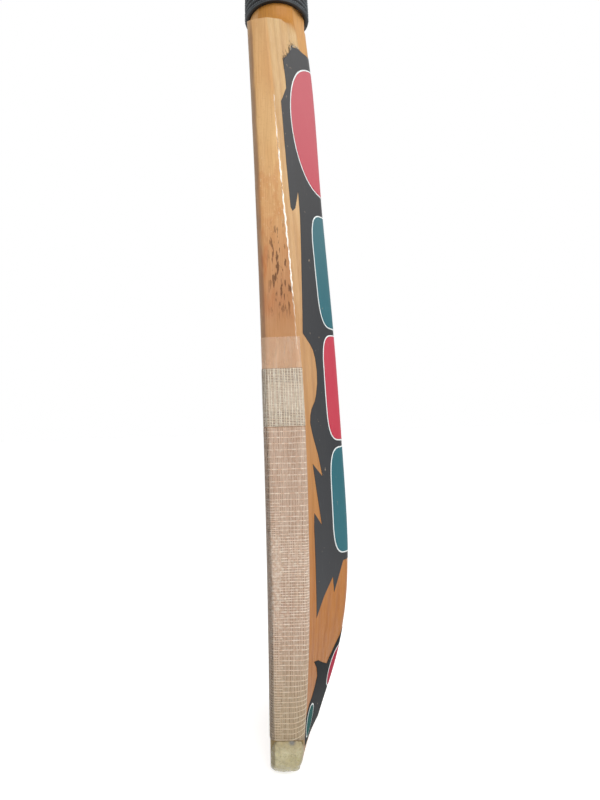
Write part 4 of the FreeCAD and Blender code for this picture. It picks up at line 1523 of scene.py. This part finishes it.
@dataclass
class Viewpoint:
    """Where the bat is seen from: close to its near edge, a little below the middle of the blade."""

    place: tuple[float, float, float] = (459.5 * MM, 12.9 * MM, 257.1 * MM)
    yaw: float = math.radians(1.72)
    pitch: float = math.radians(0.98)
    roll: float = math.radians(-1.95)
    lens_mm: float = 26.0
    sensor_mm: float = 36.0
    nearest: float = 10.0 * MM

    def build(self) -> None:
        """Make the camera and give it to the scene."""
        level = math.cos(self.pitch)
        ahead = Vector((-math.cos(self.yaw) * level, -math.sin(self.yaw) * level, math.sin(self.pitch)))
        right = ahead.cross(Vector((0, 0, 1))).normalized()
        up = right.cross(ahead)
        turned_right = right * math.cos(self.roll) + up * math.sin(self.roll)
        turned_up = up * math.cos(self.roll) - right * math.sin(self.roll)
        data = bpy.data.cameras.new("viewpoint")
        data.lens = self.lens_mm
        data.sensor_width = self.sensor_mm
        data.clip_start = self.nearest
        camera = bpy.data.objects.new("viewpoint", data)
        axes = Matrix((turned_right, turned_up, -ahead)).transposed().to_4x4()
        camera.matrix_world = Matrix.Translation(self.place) @ axes
        bpy.context.scene.collection.objects.link(camera)
        bpy.context.scene.camera = camera


@dataclass
class Studio:
    """A white room, a pale floor and three lamps.

    A big soft one hangs on the near edge's side, a tall window on the spine's and a weak fill on the face's.
    """

    ambient: float = 0.46
    lamps: Sequence[tuple] = (
        ("soft_lamp", (1.5, 0.55, 1.25), (1.1, 1.1), 0.52),
        ("window", (0.45, 1.55, 0.86), (0.18, 0.9), 0.22),
        ("fill", (-0.5, -2.2, 1.2), (1.5, 1.5), 0.12),
    )

    def build(self) -> None:
        """Make the floor, the room and the lamps."""
        bpy.context.scene.view_settings.view_transform = "Standard"
        self.lay_floor()
        self.light_room()
        target = Vector((0.0, 0.0, 0.36))
        for name, place, size, level in self.lamps:
            self.lamp(name, place, target, size, level)

    def lay_floor(self) -> None:
        """Lay a wide flat sheet of paper just under the toe."""
        half, steps = 6.0, 25
        across = np.linspace(-half, half, steps)
        x, y = np.meshgrid(across, across, indexing="ij")
        points = np.stack([x, y, np.full_like(x, -0.2 * MM)], -1).reshape(-1, 3)
        paper = StudioPaper("studio_paper", 0.85).make()
        floor = mesh_object("studio_floor", points, grid_faces(steps, steps), [paper])

    def light_room(self) -> None:
        """Give the room its even light, and white walls for what looks at it."""
        world = bpy.data.worlds.new("white_room")
        world.use_nodes = True
        tree = world.node_tree
        range_ends = {"Value": seen_directly(tree), "To Min": self.ambient, "To Max": 1.0}
        strength = add(tree, "ShaderNodeMapRange", range_ends)
        background = tree.nodes["Background"]
        fill(tree, background, {"Color": WHITE, "Strength": strength.outputs[0]})
        bpy.context.scene.world = world

    @staticmethod
    def lamp(
        name: str, place: Sequence[float], target: Vector, size: tuple[float, float], level: float
    ) -> None:
        """Hang one area lamp.

        Args:
            name: its name.
            place: where it hangs.
            target: what it points at.
            size: its width and height, in metres.
            level: how bright a white card facing it at the target would look, where 1 is white.
        """
        data = bpy.data.lights.new(name, "AREA")
        power = level * math.pi**2 * (target - Vector(place)).length_squared
        data.shape, data.size, data.size_y, data.energy = "RECTANGLE", *size, power
        lamp = bpy.data.objects.new(name, data)
        lamp.location = place
        lamp.rotation_euler = (target - Vector(place)).to_track_quat("-Z", "Y").to_euler()
        bpy.context.scene.collection.objects.link(lamp)


def main() -> None:
    """Build every piece in order."""
    logging.basicConfig(level=logging.INFO, format="%(message)s")
    Viewpoint().build()
    Studio().build()
    BlankAndHandle().dress()
    CornerHighlightBead().build()
    Tapes().build()
    ToeGuard().build()
    Labels().dress()
    Grip().build()
    bpy.context.view_layer.update()


if __name__ == "__main__":
    main()
